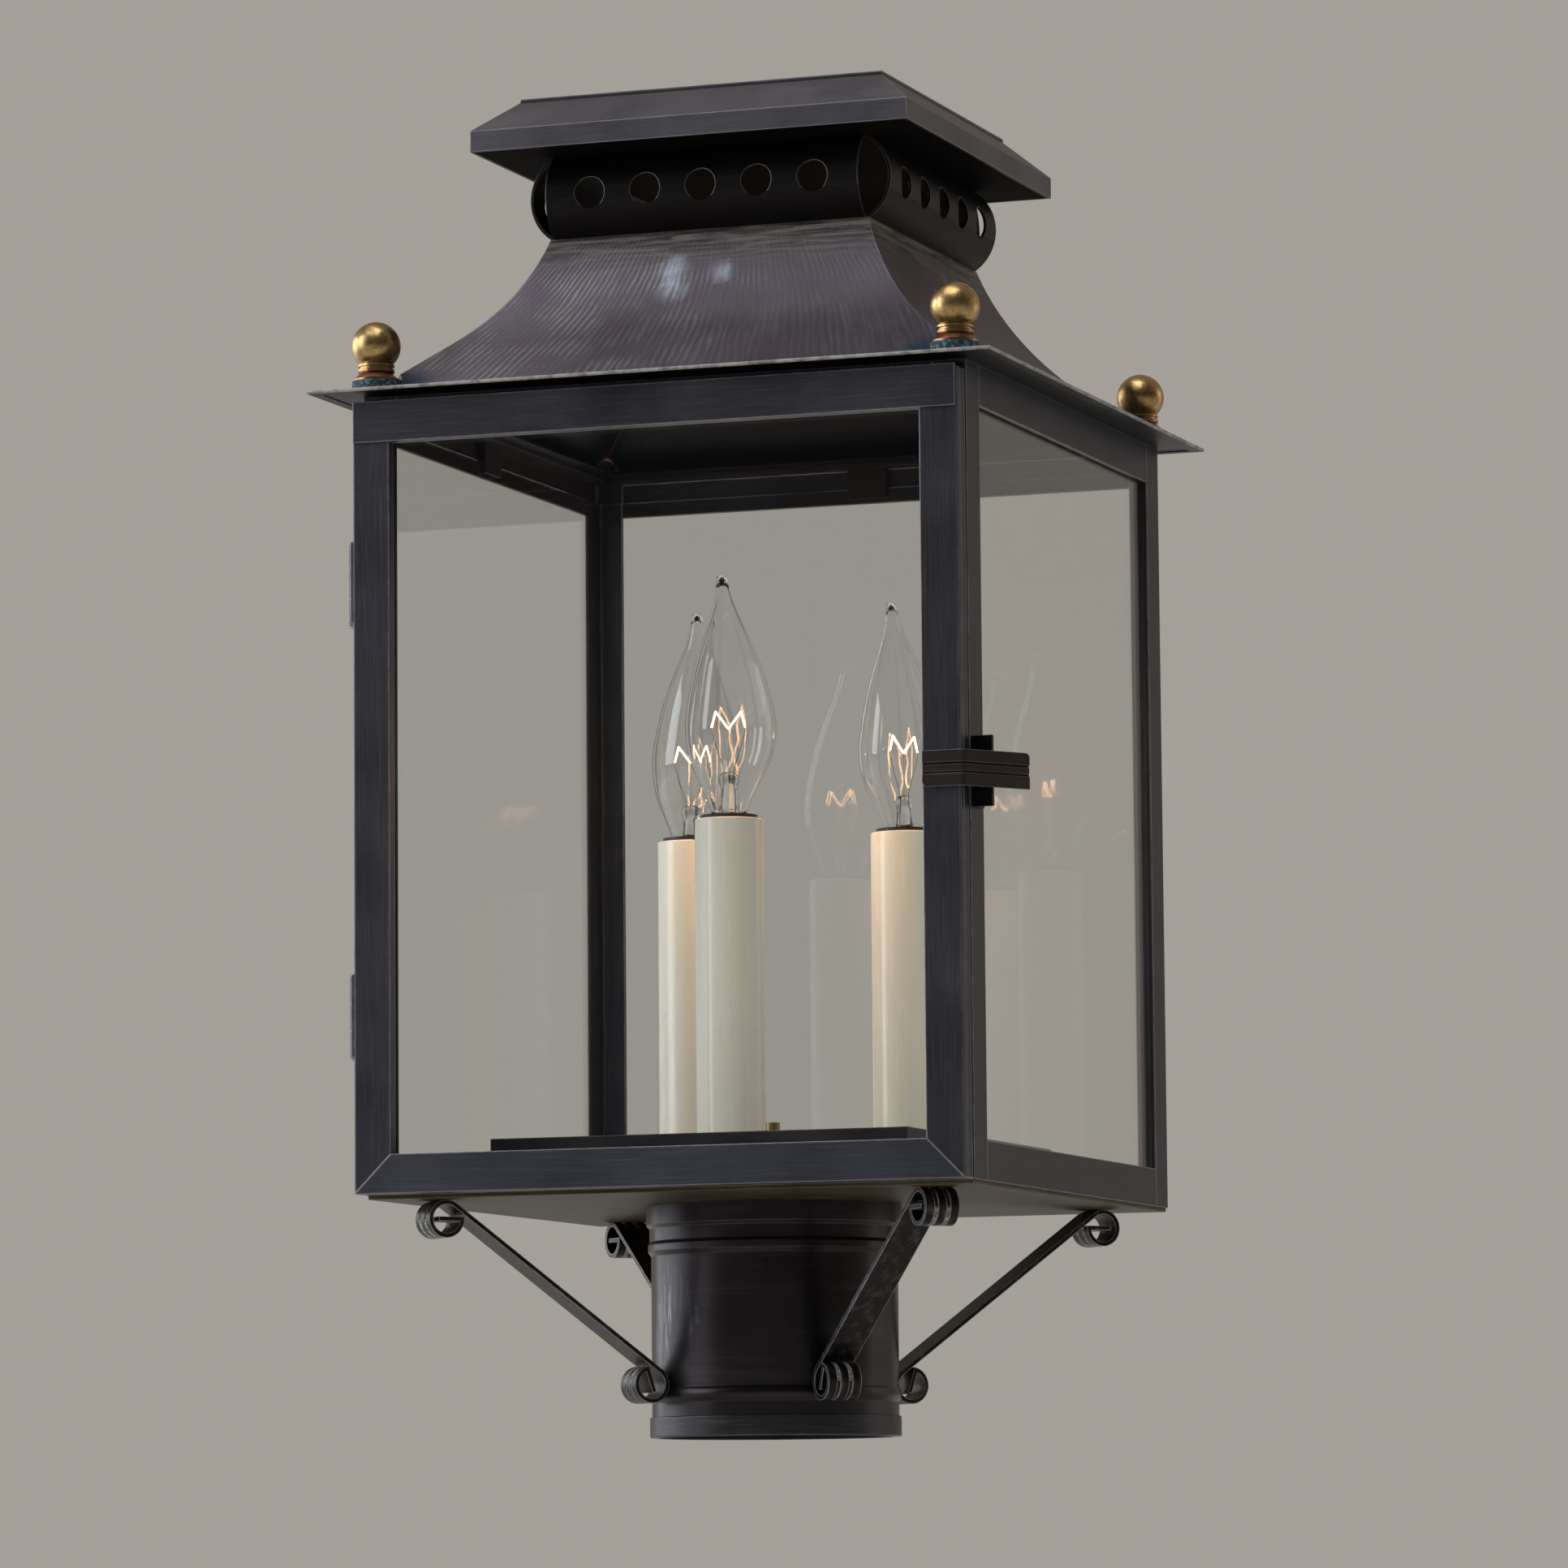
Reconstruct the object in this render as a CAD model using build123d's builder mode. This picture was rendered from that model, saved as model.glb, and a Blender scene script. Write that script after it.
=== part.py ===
"""Post top lantern: a square glazed lantern with an overlay door, three candle lamps and a vented roof.

Millimetres. +Z is up, the origin is on the post's axis at the fitter's lower edge, and the door faces -Y.
"""
from build123d import *
from math import atan2, cos, degrees, radians, sin, sqrt
import os

os.makedirs("parts", exist_ok=True)

# ------------------------------------------------------------------ fitter: the sleeve over the post
post_diameter = 76.2
post_clearance = 0.3
fitter_wall = 1.6
fitter_length = 74.9
fitter_band_height = 6.6
fitter_band_wall = 0.7
fitter_bead_height = 4.9
fitter_bead_base = 11.1
fitter_bead_rise = 0.8
collar_height = 14.9
collar_rise = 1.5
collar_groove = 1.0

set_screw_radius = 2.2
set_screw_head_radius = 3.8
set_screw_head_height = 2.8
set_screw_level = 38.0
set_screw_angles = (65.0, 155.0)
set_screw_slot = 0.9
set_screw_shoulder = 0.6

# ------------------------------------------------------------------ body: fixed frame of angle bars
body_width = 203.2
body_depth = 203.2
body_height = 255.4
body_centre_y = 2.6
angle_wall = 1.5
angle_side_leg = 12.7
angle_face_leg = 11.1
bottom_rail_height = 12.5
top_rail_height = 13.1
rail_shelf = 9.0
pan_sheet = 1.3
pan_inset = 0.6

# ------------------------------------------------------------------ glass
pane_thickness = 2.2
pane_play = 0.3
pane_height = 245.8
pane_clip_width = 14.0
pane_clip_height = 10.2
pane_clip_sheet = 0.8

# ------------------------------------------------------------------ overlay door
door_gap = 1.6
door_depth = 7.8
door_bar = 12.4
door_sheet = 1.2
door_height = 252.5
door_top_rail = 13.2
door_rail_proud = 0.8
door_rail_inset = 0.4
door_stile_drop = 0.8
door_lip_depth = 4.5
door_edge = 0.4
door_groove_setback = 3.0
door_groove = 0.35
door_clip_width = 12.5
door_clip_spacing = 100.0

# ------------------------------------------------------------------ hinges
hinge_length = 26.0
hinge_upper_level = 271.0
hinge_lower_level = 132.8
hinge_sheet = 1.0
hinge_knuckle_radius = 2.0
hinge_pin_radius = 1.0
hinge_pin_clearance = 0.05
hinge_knuckle_gap = 0.3
hinge_offset = 2.4
hinge_pin_head = 0.8
hinge_pin_head_radius = 1.5
hinge_body_leaf = 11.0

# ------------------------------------------------------------------ spring latch and its catch
latch_level = 202.5
latch_height = 11.3
latch_sheet = 1.0
latch_gap = 0.5
latch_reach = 12.1
latch_tail = 24.4
latch_flare = 35.0
latch_bend_radius = 1.0
latch_groove_levels = (-1.3, 1.5)
latch_groove_width = 0.7
latch_groove_depth = 0.5
latch_middle_recess = 0.25
latch_corner_cut = 1.3
latch_corner_round = 1.6
latch_rivet_radius = 0.9
latch_rivet_head_radius = 1.4
latch_rivet_head_height = 0.8
latch_rivet_inset = 2.7
latch_rivet_spacing = 6.0
latch_rivet_play = 0.3
catch_height = 22.1
catch_reach = 6.7
catch_sheet = 1.5
catch_setback = 1.5
catch_foot = 6.0

# ------------------------------------------------------------------ roof
plate_overhang = 13.2
plate_sheet = 0.9
plate_ledge = 13.6
plate_hem_width = 4.0
plate_hem_drop = 0.3
skirt_setback = 14.4
skirt_height = 54.6
skirt_foot_angle = 40.7
skirt_foot_run = 28.5
skirt_wall = 1.5
neck_width = 109.2

vent_height = 26.8
vent_bulge = 7.4
vent_sheet = 1.0
vent_length = 107.0
vent_hole_radius = 5.1
vent_hole_pitch = 19.1
vent_hole_count = 5

cap_width = 149.2
cap_fascia = 6.9
cap_rise = 10.7
cap_top_width = 124.0
cap_sheet = 1.2
cap_panel_sheet = 0.8
cap_panel_rim = 1.6
cap_panel_rim_rise = 0.4

# ------------------------------------------------------------------ corner finials
finial_setback = 17.0
finial_ball_radius = 7.9
finial_ball_level = 15.7
finial_neck_radius = 5.3
finial_ring_radius = 5.9
finial_foot_radius = 7.4
finial_foot_height = 2.1
finial_washer_radius = 7.8
finial_washer_height = 4.2
finial_stud_radius = 2.0
finial_play = 0.4

# ------------------------------------------------------------------ scroll brackets under the body
bracket_width = 11.6
bracket_sheet = 1.4
bracket_curl_radius = 6.0
bracket_top_reach = 117.3
bracket_bottom_level = 16.8
bracket_tail = 2.6
bracket_groove_depth = 0.4
bracket_groove_width = 1.3
bracket_groove_spacing = 4.2
bracket_pad_width = 6.0
bracket_pad_height = 3.0
bracket_standoff = 0.3

# ------------------------------------------------------------------ candle cluster
cover_width = 140.6
cover_height = 18.6
cover_sheet = 1.0
stud_radius = 2.4
stud_projection = 7.0
stud_head_height = 3.0
nut_across_flats = 9.5
nut_height = 4.0
wire_hole_radius = 8.0
wire_hole_y = 20.0

cluster_centre_y = 4.4
cluster_radius = 43.1
candle_count = 3
candle_radius = 11.1
candle_wall = 1.0
candle_height = 102.3
stem_radius = 5.15
stem_bore = 3.5
stem_height = 57.2
stem_tail = 6.8
socket_radius = 9.3
socket_rise = 1.3
socket_bore_depth = 16.8
socket_mouth_radius = 7.7
socket_mouth_depth = 3.8
bulb_play = 0.3

# ------------------------------------------------------------------ flame-tip bulb
bulb_base_radius = 5.9
bulb_base_height = 11.7
bulb_lifts = (4.4, 1.4, 1.4)
bulb_contact_radius = 2.4
bulb_contact_height = 1.0
bulb_glass_wall = 0.7
bulb_flame = (
    (0.0, 5.6),
    (2.0, 5.9),
    (6.0, 7.3),
    (12.5, 10.4),
    (19.0, 13.3),
    (27.0, 14.7),
    (32.2, 14.5),
    (41.4, 12.8),
    (49.3, 10.7),
    (58.6, 7.3),
    (68.2, 3.6),
    (75.2, 2.0),
    (78.6, 1.4),
)
bulb_hollow_height = 75.2
bulb_widest = 28.0
bulb_leans = ((0.9, -2.0), (0.0, -4.0), (2.2, 2.6))
bulb_lean_power = 1.5
bulb_stem_height = 14.0
bulb_stem_radius = 3.5
bulb_pinch_thickness = 1.8
filament_level = 32.0
filament_rise = 2.0
filament_drop = 3.0
filament_dip = 3.5
filament_lead_foot = 2.0
filament_span = 11.0
filament_peak = 0.75
filament_wire = 0.35

# ------------------------------------------------------------------ levels and edges that pieces share
bore_radius = post_diameter / 2 + post_clearance
sleeve_radius = bore_radius + fitter_wall
pan_bottom = fitter_length
body_base = pan_bottom + pan_sheet
body_top = body_base + body_height
body_half = body_width / 2
body_front = body_centre_y - body_depth / 2
body_back = body_centre_y + body_depth / 2

plate_half_x = body_half + plate_overhang
plate_half_y = body_depth / 2 + plate_overhang
plate_top = body_top + plate_sheet
skirt_foot_x = plate_half_x - skirt_setback
skirt_foot_y = plate_half_y - skirt_setback
neck_level = plate_top + skirt_height
soffit_level = neck_level + vent_height
finial_x = plate_half_x - finial_setback
finial_y = plate_half_y - finial_setback

door_back = body_front - door_gap
door_front = door_back - door_depth
door_top = body_base + door_height
door_rail_base = door_top - door_top_rail
pane_front = door_front + door_lip_depth

cover_top = body_base + cover_height
candle_top = cover_top + candle_height
socket_top = candle_top + socket_rise
socket_floor = socket_top - socket_bore_depth

SIDES = {"left": -1, "right": 1}
FACES = {"front": -1, "back": 1}


def finish(piece, name):
    """Name a finished piece and write it."""
    piece.part.label = name
    export_step(piece.part, f"parts/{name}.step")


def candle_centres():
    """Centres of the candles: one in front, the others a third of a turn apart."""
    turns = [radians(-90 + 360 * index / candle_count) for index in range(candle_count)]
    return [(cluster_radius * cos(turn), cluster_centre_y + cluster_radius * sin(turn)) for turn in turns]


# ------------------------------------------------------------------ fitter
def screw_place(angle):
    """Place of a set screw on the post's axis, pointing outwards at the given angle."""
    return Location((0, 0, set_screw_level), (0, 0, angle)) * Rot(0, 90, 0)


def fitter_sleeve():
    collar_radius = sleeve_radius + collar_rise
    collar_base = fitter_length - collar_height
    groove_step = collar_height / 7
    with BuildPart() as sleeve:
        with BuildSketch(Plane.XZ):
            with BuildLine():
                Polyline(
                    (bore_radius, 0),
                    (sleeve_radius, 0),
                    (sleeve_radius, collar_base - collar_rise),
                    (collar_radius - collar_groove / 2, collar_base),
                    (collar_radius - collar_groove / 2, collar_base + groove_step),
                    (collar_radius - collar_groove, collar_base + 1.5 * groove_step),
                    (collar_radius - collar_groove, collar_base + 3.5 * groove_step),
                    (collar_radius, collar_base + 4 * groove_step),
                    (collar_radius, fitter_length),
                    (bore_radius, fitter_length),
                    close=True,
                )
            make_face()
        revolve(axis=Axis.Z)
        with BuildSketch(Plane.XZ):
            with BuildLine():
                bead_top = fitter_bead_base + fitter_bead_height
                bead_middle = fitter_bead_base + fitter_bead_height / 2
                chord = Line((sleeve_radius, fitter_bead_base), (sleeve_radius, bead_top))
                ThreePointArc(chord @ 0, (sleeve_radius + fitter_bead_rise, bead_middle), chord @ 1)
            make_face()
        revolve(axis=Axis.Z)
        for angle in set_screw_angles:
            with Locations(screw_place(angle)):
                Cylinder(
                    set_screw_radius,
                    2 * sleeve_radius,
                    align=(Align.CENTER, Align.CENTER, Align.MIN),
                    mode=Mode.SUBTRACT,
                )
    return sleeve


def fitter_band():
    with BuildPart() as band:
        with BuildSketch():
            Circle(sleeve_radius + fitter_band_wall)
            Circle(sleeve_radius, mode=Mode.SUBTRACT)
        extrude(amount=fitter_band_height)
        rims = band.edges().filter_by(GeomType.CIRCLE).group_by(SortBy.RADIUS)[-1]
        fillet(rims, fitter_band_wall * 0.6)
    return band


def set_screws():
    """Two slotted screws through the sleeve's back, their tips flush with its bore."""
    with BuildPart() as screws:
        for angle in set_screw_angles:
            with BuildPart(mode=Mode.PRIVATE) as screw:
                with BuildSketch(Plane.XY.offset(bore_radius)):
                    Circle(set_screw_radius)
                extrude(amount=fitter_wall + set_screw_shoulder)
                with BuildSketch(Plane.XY.offset(sleeve_radius + set_screw_shoulder)):
                    Circle(set_screw_head_radius)
                extrude(amount=set_screw_head_height)
                top = Plane.XY.offset(sleeve_radius + set_screw_shoulder + set_screw_head_height)
                with BuildSketch(top):
                    Rectangle(3 * set_screw_head_radius, set_screw_slot)
                extrude(amount=-set_screw_slot, mode=Mode.SUBTRACT)
            with Locations(screw_place(angle)):
                add(screw.part)
    return screws


# ------------------------------------------------------------------ body frame
def base_pan():
    with BuildPart() as pan:
        with BuildSketch(Plane.XY.offset(pan_bottom)):
            with Locations((0, body_centre_y)):
                Rectangle(body_width - 2 * pan_inset, body_depth - 2 * pan_inset)
            Circle(stud_radius, mode=Mode.SUBTRACT)
            with Locations((0, wire_hole_y)):
                Circle(wire_hole_radius, mode=Mode.SUBTRACT)
        extrude(amount=pan_sheet)
    return pan


def corner_post(side, face):
    """Full-height angle bar at one corner of the body."""
    x_out = side * body_half
    y_out = body_centre_y + face * body_depth / 2
    x_in = x_out - side * angle_wall
    y_in = y_out - face * angle_wall
    with BuildPart() as post:
        with BuildSketch(Plane.XY.offset(body_base)):
            with BuildLine():
                Polyline(
                    (x_out, y_out),
                    (x_out - side * angle_face_leg, y_out),
                    (x_out - side * angle_face_leg, y_in),
                    (x_in, y_in),
                    (x_in, y_out - face * angle_side_leg),
                    (x_out, y_out - face * angle_side_leg),
                    close=True,
                )
            make_face()
        extrude(amount=body_height)
    return post


def rail_section(outer, way, level, up, height):
    """Angle section of a rail: a face leg of this height at outer, and a shelf inwards at this level."""
    Polyline(
        (outer, level),
        (outer - way * rail_shelf, level),
        (outer - way * rail_shelf, level + up * angle_wall),
        (outer - way * angle_wall, level + up * angle_wall),
        (outer - way * angle_wall, level + up * height),
        (outer, level + up * height),
        close=True,
    )


def side_rails(level, up, height):
    """The left and right rails, butted between the side legs of the corner posts."""
    with BuildPart() as rails:
        for side in SIDES.values():
            with BuildSketch(Plane.XZ.offset(-body_centre_y)):
                with BuildLine():
                    rail_section(side * body_half, side, level, up, height)
                make_face()
            extrude(amount=body_depth / 2 - angle_side_leg, both=True)
    return rails


def face_rails(level, up, height):
    """The front and back rails, butted between the face legs of the corner posts."""
    with BuildPart() as rails:
        for face in FACES.values():
            with BuildSketch(Plane.YZ):
                with BuildLine():
                    rail_section(body_centre_y + face * body_depth / 2, face, level, up, height)
                make_face()
            extrude(amount=body_half - angle_face_leg, both=True)
    return rails


# ------------------------------------------------------------------ glazing
def block(low, high):
    """A box between two corners, joined to the part being built."""
    size = [high[axis] - low[axis] for axis in range(3)]
    with Locations(tuple(low[axis] + size[axis] / 2 for axis in range(3))):
        Box(*size)


pane_base = body_base + angle_wall
side_pane_outer = body_half - angle_wall - pane_play
side_pane_inner = side_pane_outer - pane_thickness
back_pane_outer = body_back - angle_wall - pane_play
back_pane_inner = back_pane_outer - pane_thickness
shelf_underside = body_top - angle_wall


def side_pane(side):
    inner, outer = sorted((side * side_pane_inner, side * side_pane_outer))
    with BuildPart() as pane:
        block(
            (inner, body_front + angle_wall + pane_play, pane_base),
            (outer, body_back - angle_wall - pane_play, pane_base + pane_height),
        )
    return pane


def back_pane():
    half = side_pane_inner - pane_play
    with BuildPart() as pane:
        block((-half, back_pane_inner, pane_base), (half, back_pane_outer, pane_base + pane_height))
    return pane


def pane_clips():
    """One soldered tab for each fixed pane, hanging from the top shelf behind the glass."""
    low = shelf_underside - pane_clip_height
    with BuildPart() as clips:
        for side in SIDES.values():
            near, far = sorted((side * side_pane_inner, side * (side_pane_inner - pane_clip_sheet)))
            block((near, -pane_clip_width / 2, low), (far, pane_clip_width / 2, shelf_underside))
        block(
            (-pane_clip_width / 2, back_pane_inner - pane_clip_sheet, low),
            (pane_clip_width / 2, back_pane_inner, shelf_underside),
        )
    return clips


# ------------------------------------------------------------------ door
def door_section(outer, way, width):
    """Channel section of a stile, open at the back: a deep grooved outer wall and a short inner lip."""
    inner = outer - way * width
    groove = door_front + door_groove_setback
    Polyline(
        (outer - way * door_edge, door_front),
        (outer, door_front + door_edge),
        (outer, groove - door_groove),
        (outer - way * door_groove, groove),
        (outer, groove + door_groove),
        (outer, door_back),
        (outer - way * door_sheet, door_back),
        (outer - way * door_sheet, door_front + door_sheet),
        (inner + way * door_sheet, door_front + door_sheet),
        (inner + way * door_sheet, pane_front),
        (inner, pane_front),
        (inner, door_front),
        close=True,
    )


def latch_rivet_places():
    """Places of the latch's rivets in the stile's face, as x and z."""
    x = body_half - latch_reach + latch_rivet_inset
    return [(x, latch_level + way * latch_rivet_spacing / 2) for way in (-1, 1)]


def door_stile(side):
    """Upright bar of the door: mitred below, its upper end behind the top rail's face."""
    mitre = Plane(origin=(side * body_half, 0, body_base), x_dir=(0, 1, 0), z_dir=(side, 0, 1))
    with BuildPart() as stile:
        with BuildSketch(Plane.XY.offset(body_base)):
            with BuildLine():
                door_section(side * body_half, side, door_bar)
            make_face()
        extrude(amount=door_height - door_stile_drop)
        split(bisect_by=mitre, keep=Keep.TOP)
        if side == SIDES["right"]:
            for x, z in latch_rivet_places():
                with Locations(Location((x, door_front, z), (90, 0, 0))):
                    Cylinder(latch_rivet_radius + latch_rivet_play, 3 * door_sheet, mode=Mode.SUBTRACT)
    return stile


def door_bottom_rail():
    """Lower bar of the door, mitred into both stiles."""
    # the section is drawn with the door's depth across and its height up
    with BuildPart() as rail:
        with BuildSketch(Plane.YZ):
            with BuildLine():
                lip = body_base + door_bar
                Polyline(
                    (door_front, body_base),
                    (door_back, body_base),
                    (door_back, body_base + door_sheet),
                    (door_front + door_sheet, body_base + door_sheet),
                    (door_front + door_sheet, lip - door_sheet),
                    (pane_front, lip - door_sheet),
                    (pane_front, lip),
                    (door_front, lip),
                    close=True,
                )
            make_face()
        extrude(amount=body_half, both=True)
        for side in SIDES.values():
            corner = (side * body_half, 0, body_base)
            split(bisect_by=Plane(origin=corner, x_dir=(0, 1, 0), z_dir=(side, 0, 1)), keep=Keep.BOTTOM)
    return rail


def door_top_rail_bar():
    """Upper bar of the door: a channel between the stiles and a face sheet laid over their ends."""
    between = body_half - door_bar
    across = body_half - door_rail_inset
    with BuildPart() as rail:
        with BuildSketch(Plane.YZ):
            with BuildLine():
                Polyline(
                    (door_front, door_rail_base),
                    (pane_front, door_rail_base),
                    (pane_front, door_rail_base + door_sheet),
                    (door_front + door_sheet, door_rail_base + door_sheet),
                    (door_front + door_sheet, door_top - door_sheet),
                    (door_back, door_top - door_sheet),
                    (door_back, door_top),
                    (door_front, door_top),
                    close=True,
                )
            make_face()
        extrude(amount=between, both=True)
        block((-across, door_front - door_rail_proud, door_rail_base), (across, door_front, door_top))
    return rail


def door_pane():
    half = body_half - door_sheet - pane_play
    low = body_base + door_sheet + pane_play
    high = door_top - door_sheet - pane_play
    with BuildPart() as pane:
        block((-half, pane_front, low), (half, pane_front + pane_thickness, high))
    return pane


def door_clips():
    """Two tabs soldered under the top rail's rear edge that hold the door's glass."""
    back = pane_front + pane_thickness
    top = door_top - door_sheet
    with BuildPart() as clips:
        for way in (-1, 1):
            middle = way * door_clip_spacing / 2
            block(
                (middle - door_clip_width / 2, back, top - pane_clip_height - door_sheet),
                (middle + door_clip_width / 2, back + pane_clip_sheet, top),
            )
    return clips


# ------------------------------------------------------------------ hinges
hinge_x = -(body_half + hinge_offset)
hinge_y = door_back
leaf_outer = -(body_half + hinge_sheet)
knuckle_length = (hinge_length - 2 * hinge_knuckle_gap) / 3
knuckle_pitch = knuckle_length + hinge_knuckle_gap


def pin_line(radius, low, length, mode=Mode.ADD):
    """A cylinder on the hinge's axis, added to or cut from the part being built."""
    with Locations((hinge_x, hinge_y, low)):
        Cylinder(radius, length, align=(Align.CENTER, Align.CENTER, Align.MIN), mode=mode)


def body_leaves():
    """Fixed leaves of both hinges, each with an upper and a lower knuckle."""
    plate_start = hinge_y + hinge_knuckle_radius + hinge_knuckle_gap
    with BuildPart() as leaves:
        for level in (hinge_lower_level, hinge_upper_level):
            base = level - hinge_length / 2
            top = base + hinge_length
            block((leaf_outer, plate_start, base), (-body_half, plate_start + hinge_body_leaf, top))
            for index in (0, 2):
                low = base + index * knuckle_pitch
                high = low + knuckle_length
                block((leaf_outer, hinge_y + hinge_knuckle_gap, low), (-body_half, plate_start, high))
                pin_line(hinge_knuckle_radius, low, knuckle_length)
            pin_line(hinge_pin_radius, base, hinge_length, Mode.SUBTRACT)
    return leaves


def door_leaves():
    """Swinging leaves of both hinges, each with a middle knuckle."""
    plate_end = hinge_y - hinge_knuckle_radius - hinge_knuckle_gap
    with BuildPart() as leaves:
        for level in (hinge_lower_level, hinge_upper_level):
            base = level - hinge_length / 2
            top = base + hinge_length
            block((leaf_outer, door_front + hinge_knuckle_gap, base), (-body_half, plate_end, top))
            low = base + knuckle_pitch
            high = low + knuckle_length
            block((leaf_outer, plate_end, low), (-body_half, hinge_y - hinge_knuckle_gap, high))
            pin_line(hinge_knuckle_radius, low, knuckle_length)
            pin_line(hinge_pin_radius + hinge_pin_clearance, base, hinge_length, Mode.SUBTRACT)
    return leaves


def hinge_pins():
    """Headed pins, tight in the fixed knuckles and free in the door's."""
    with BuildPart() as pins:
        for level in (hinge_lower_level, hinge_upper_level):
            base = level - hinge_length / 2
            pin_line(hinge_pin_radius, base, hinge_length)
            pin_line(hinge_pin_head_radius, base - hinge_pin_head, hinge_pin_head)
            pin_line(hinge_pin_head_radius, base + hinge_length, hinge_pin_head)
    return pins


# ------------------------------------------------------------------ latch
def strap_outline(inner, thickness):
    """Closed outline of the strap seen from above, from a distance inner off its rear face outwards."""
    back = door_front - latch_gap
    turn = radians(90 - latch_flare)
    along = Vector(cos(turn), sin(turn))
    start_x = body_half - latch_reach
    flat = Line((start_x, back - inner), (body_half + latch_gap, back - inner))
    bend = JernArc(flat @ 1, (1, 0), latch_bend_radius + inner, 90 - latch_flare)
    tail = Line(bend @ 1, bend @ 1 + along * latch_tail)
    end = Line(tail @ 1, tail @ 1 + Vector(along.Y, -along.X) * thickness)
    outer_tail = Line(end @ 1, end @ 1 - along * latch_tail)
    outer_bend = JernArc(outer_tail @ 1, -along, latch_bend_radius + inner + thickness, latch_flare - 90)
    outer_flat = Line(outer_bend @ 1, (start_x, back - inner - thickness))
    Line(outer_flat @ 1, flat @ 0)


def latch_strap():
    """Reeded spring strap: flat on the stile's face, bent round its edge, then flared out past the catch."""
    lower_groove, upper_groove = latch_groove_levels
    with BuildPart() as strap:
        with BuildSketch(Plane.XY.offset(latch_level - latch_height / 2)):
            with BuildLine():
                strap_outline(0, latch_sheet)
            make_face()
        extrude(amount=latch_height)
        ends = strap.edges().filter_by(lambda edge: abs(edge.length - latch_sheet) < 0.01).sort_by(Axis.X)
        chamfer(ends[:2].sort_by(Axis.Z)[0], latch_corner_cut)
        ends = strap.edges().filter_by(lambda edge: abs(edge.length - latch_sheet) < 0.01).sort_by(Axis.X)
        fillet(ends[-2:].sort_by(Axis.Z)[-1], latch_corner_round)
        # two grooves along the outer face leave three reeds, the middle one lower than the others
        for level in latch_groove_levels:
            with BuildSketch(Plane.XY.offset(latch_level + level - latch_groove_width / 2)):
                with BuildLine():
                    strap_outline(latch_sheet - latch_groove_depth, latch_sheet)
                make_face()
            extrude(amount=latch_groove_width, mode=Mode.SUBTRACT)
        with BuildSketch(Plane.XY.offset(latch_level + lower_groove)):
            with BuildLine():
                strap_outline(latch_sheet - latch_middle_recess, latch_sheet)
            make_face()
        extrude(amount=upper_groove - lower_groove, mode=Mode.SUBTRACT)
    return strap


def latch_rivets():
    """Rivets that hold the strap, loose in the stile so that the strap can spring."""
    back = door_front - latch_gap
    head_front = door_front + door_sheet + latch_gap
    with BuildPart() as rivets:
        for x, z in latch_rivet_places():
            with BuildSketch(Plane(origin=(x, back, z), x_dir=(1, 0, 0), z_dir=(0, 1, 0))):
                Circle(latch_rivet_radius)
            extrude(amount=head_front - back)
            with BuildSketch(Plane(origin=(x, head_front, z), x_dir=(1, 0, 0), z_dir=(0, 1, 0))):
                Circle(latch_rivet_head_radius)
            extrude(amount=latch_rivet_head_height)
    return rivets


def catch_plate():
    """Plate on the corner post that the latch's tail springs over, with a soldered foot."""
    front = body_front + catch_setback
    low = latch_level - catch_height / 2
    high = latch_level + catch_height / 2
    with BuildPart() as catch:
        block((body_half, front, low), (body_half + catch_reach, front + catch_sheet, high))
        block((body_half, front, low), (body_half + catch_sheet, front + catch_sheet + catch_foot, high))
    return catch


# ------------------------------------------------------------------ roof
def roof_plate():
    """Flat eaves plate with a folded hem under its edge and the square opening into the roof."""
    opening_y = body_depth / 2 - plate_ledge
    with BuildPart() as plate:
        with BuildSketch(Plane.XY.offset(body_top)):
            Rectangle(2 * plate_half_x, 2 * plate_half_y)
            Rectangle(2 * (body_half - plate_ledge), 2 * opening_y, mode=Mode.SUBTRACT)
        extrude(amount=plate_sheet)
        with BuildSketch(Plane.XY.offset(body_top)):
            Rectangle(2 * plate_half_x, 2 * plate_half_y)
            Rectangle(
                2 * (plate_half_x - plate_hem_width),
                2 * (plate_half_y - plate_hem_width),
                mode=Mode.SUBTRACT,
            )
        extrude(amount=-plate_hem_drop)
        rim = plate.edges().filter_by(Axis.Z, reverse=True).filter_by(
            lambda edge: max(abs(edge.center().X) - plate_half_x, abs(edge.center().Y) - plate_half_y) > -0.01
        )
        fillet(rim, (plate_sheet + plate_hem_drop) * 0.4)
        with GridLocations(2 * finial_x, 2 * finial_y, 2, 2):
            with Locations((0, 0, body_top + plate_sheet / 2)):
                Cylinder(finial_stud_radius, 2 * plate_sheet, mode=Mode.SUBTRACT)
    return plate


def skirt_profile(foot_half, inset):
    """Closed half section of the roof, from the axis out to its swept edge, drawn in by inset."""
    foot = (foot_half - inset, plate_top)
    slope = radians(skirt_foot_angle)
    knee = (foot[0] - skirt_foot_run * cos(slope), foot[1] + skirt_foot_run * sin(slope))
    neck = (neck_width / 2 - inset, neck_level)
    Line((0, plate_top), foot)
    Line(foot, knee)
    TangentArc(knee, neck, tangent=(-cos(slope), sin(slope)))
    Line(neck, (0, neck_level))
    Line((0, neck_level), (0, plate_top))


def pavilion(inset):
    """Solid square roof whose four faces follow the skirt's profile."""
    with BuildPart() as roof:
        with BuildSketch(Plane.XZ):
            with BuildLine():
                skirt_profile(skirt_foot_x, inset)
            make_face()
            mirror(about=Plane.YZ)
        extrude(amount=skirt_foot_y, both=True)
        with BuildSketch(Plane.YZ):
            with BuildLine():
                skirt_profile(skirt_foot_y, inset)
            make_face()
            mirror(about=Plane.YZ)
        extrude(amount=skirt_foot_x, both=True, mode=Mode.INTERSECT)
    return roof


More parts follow.
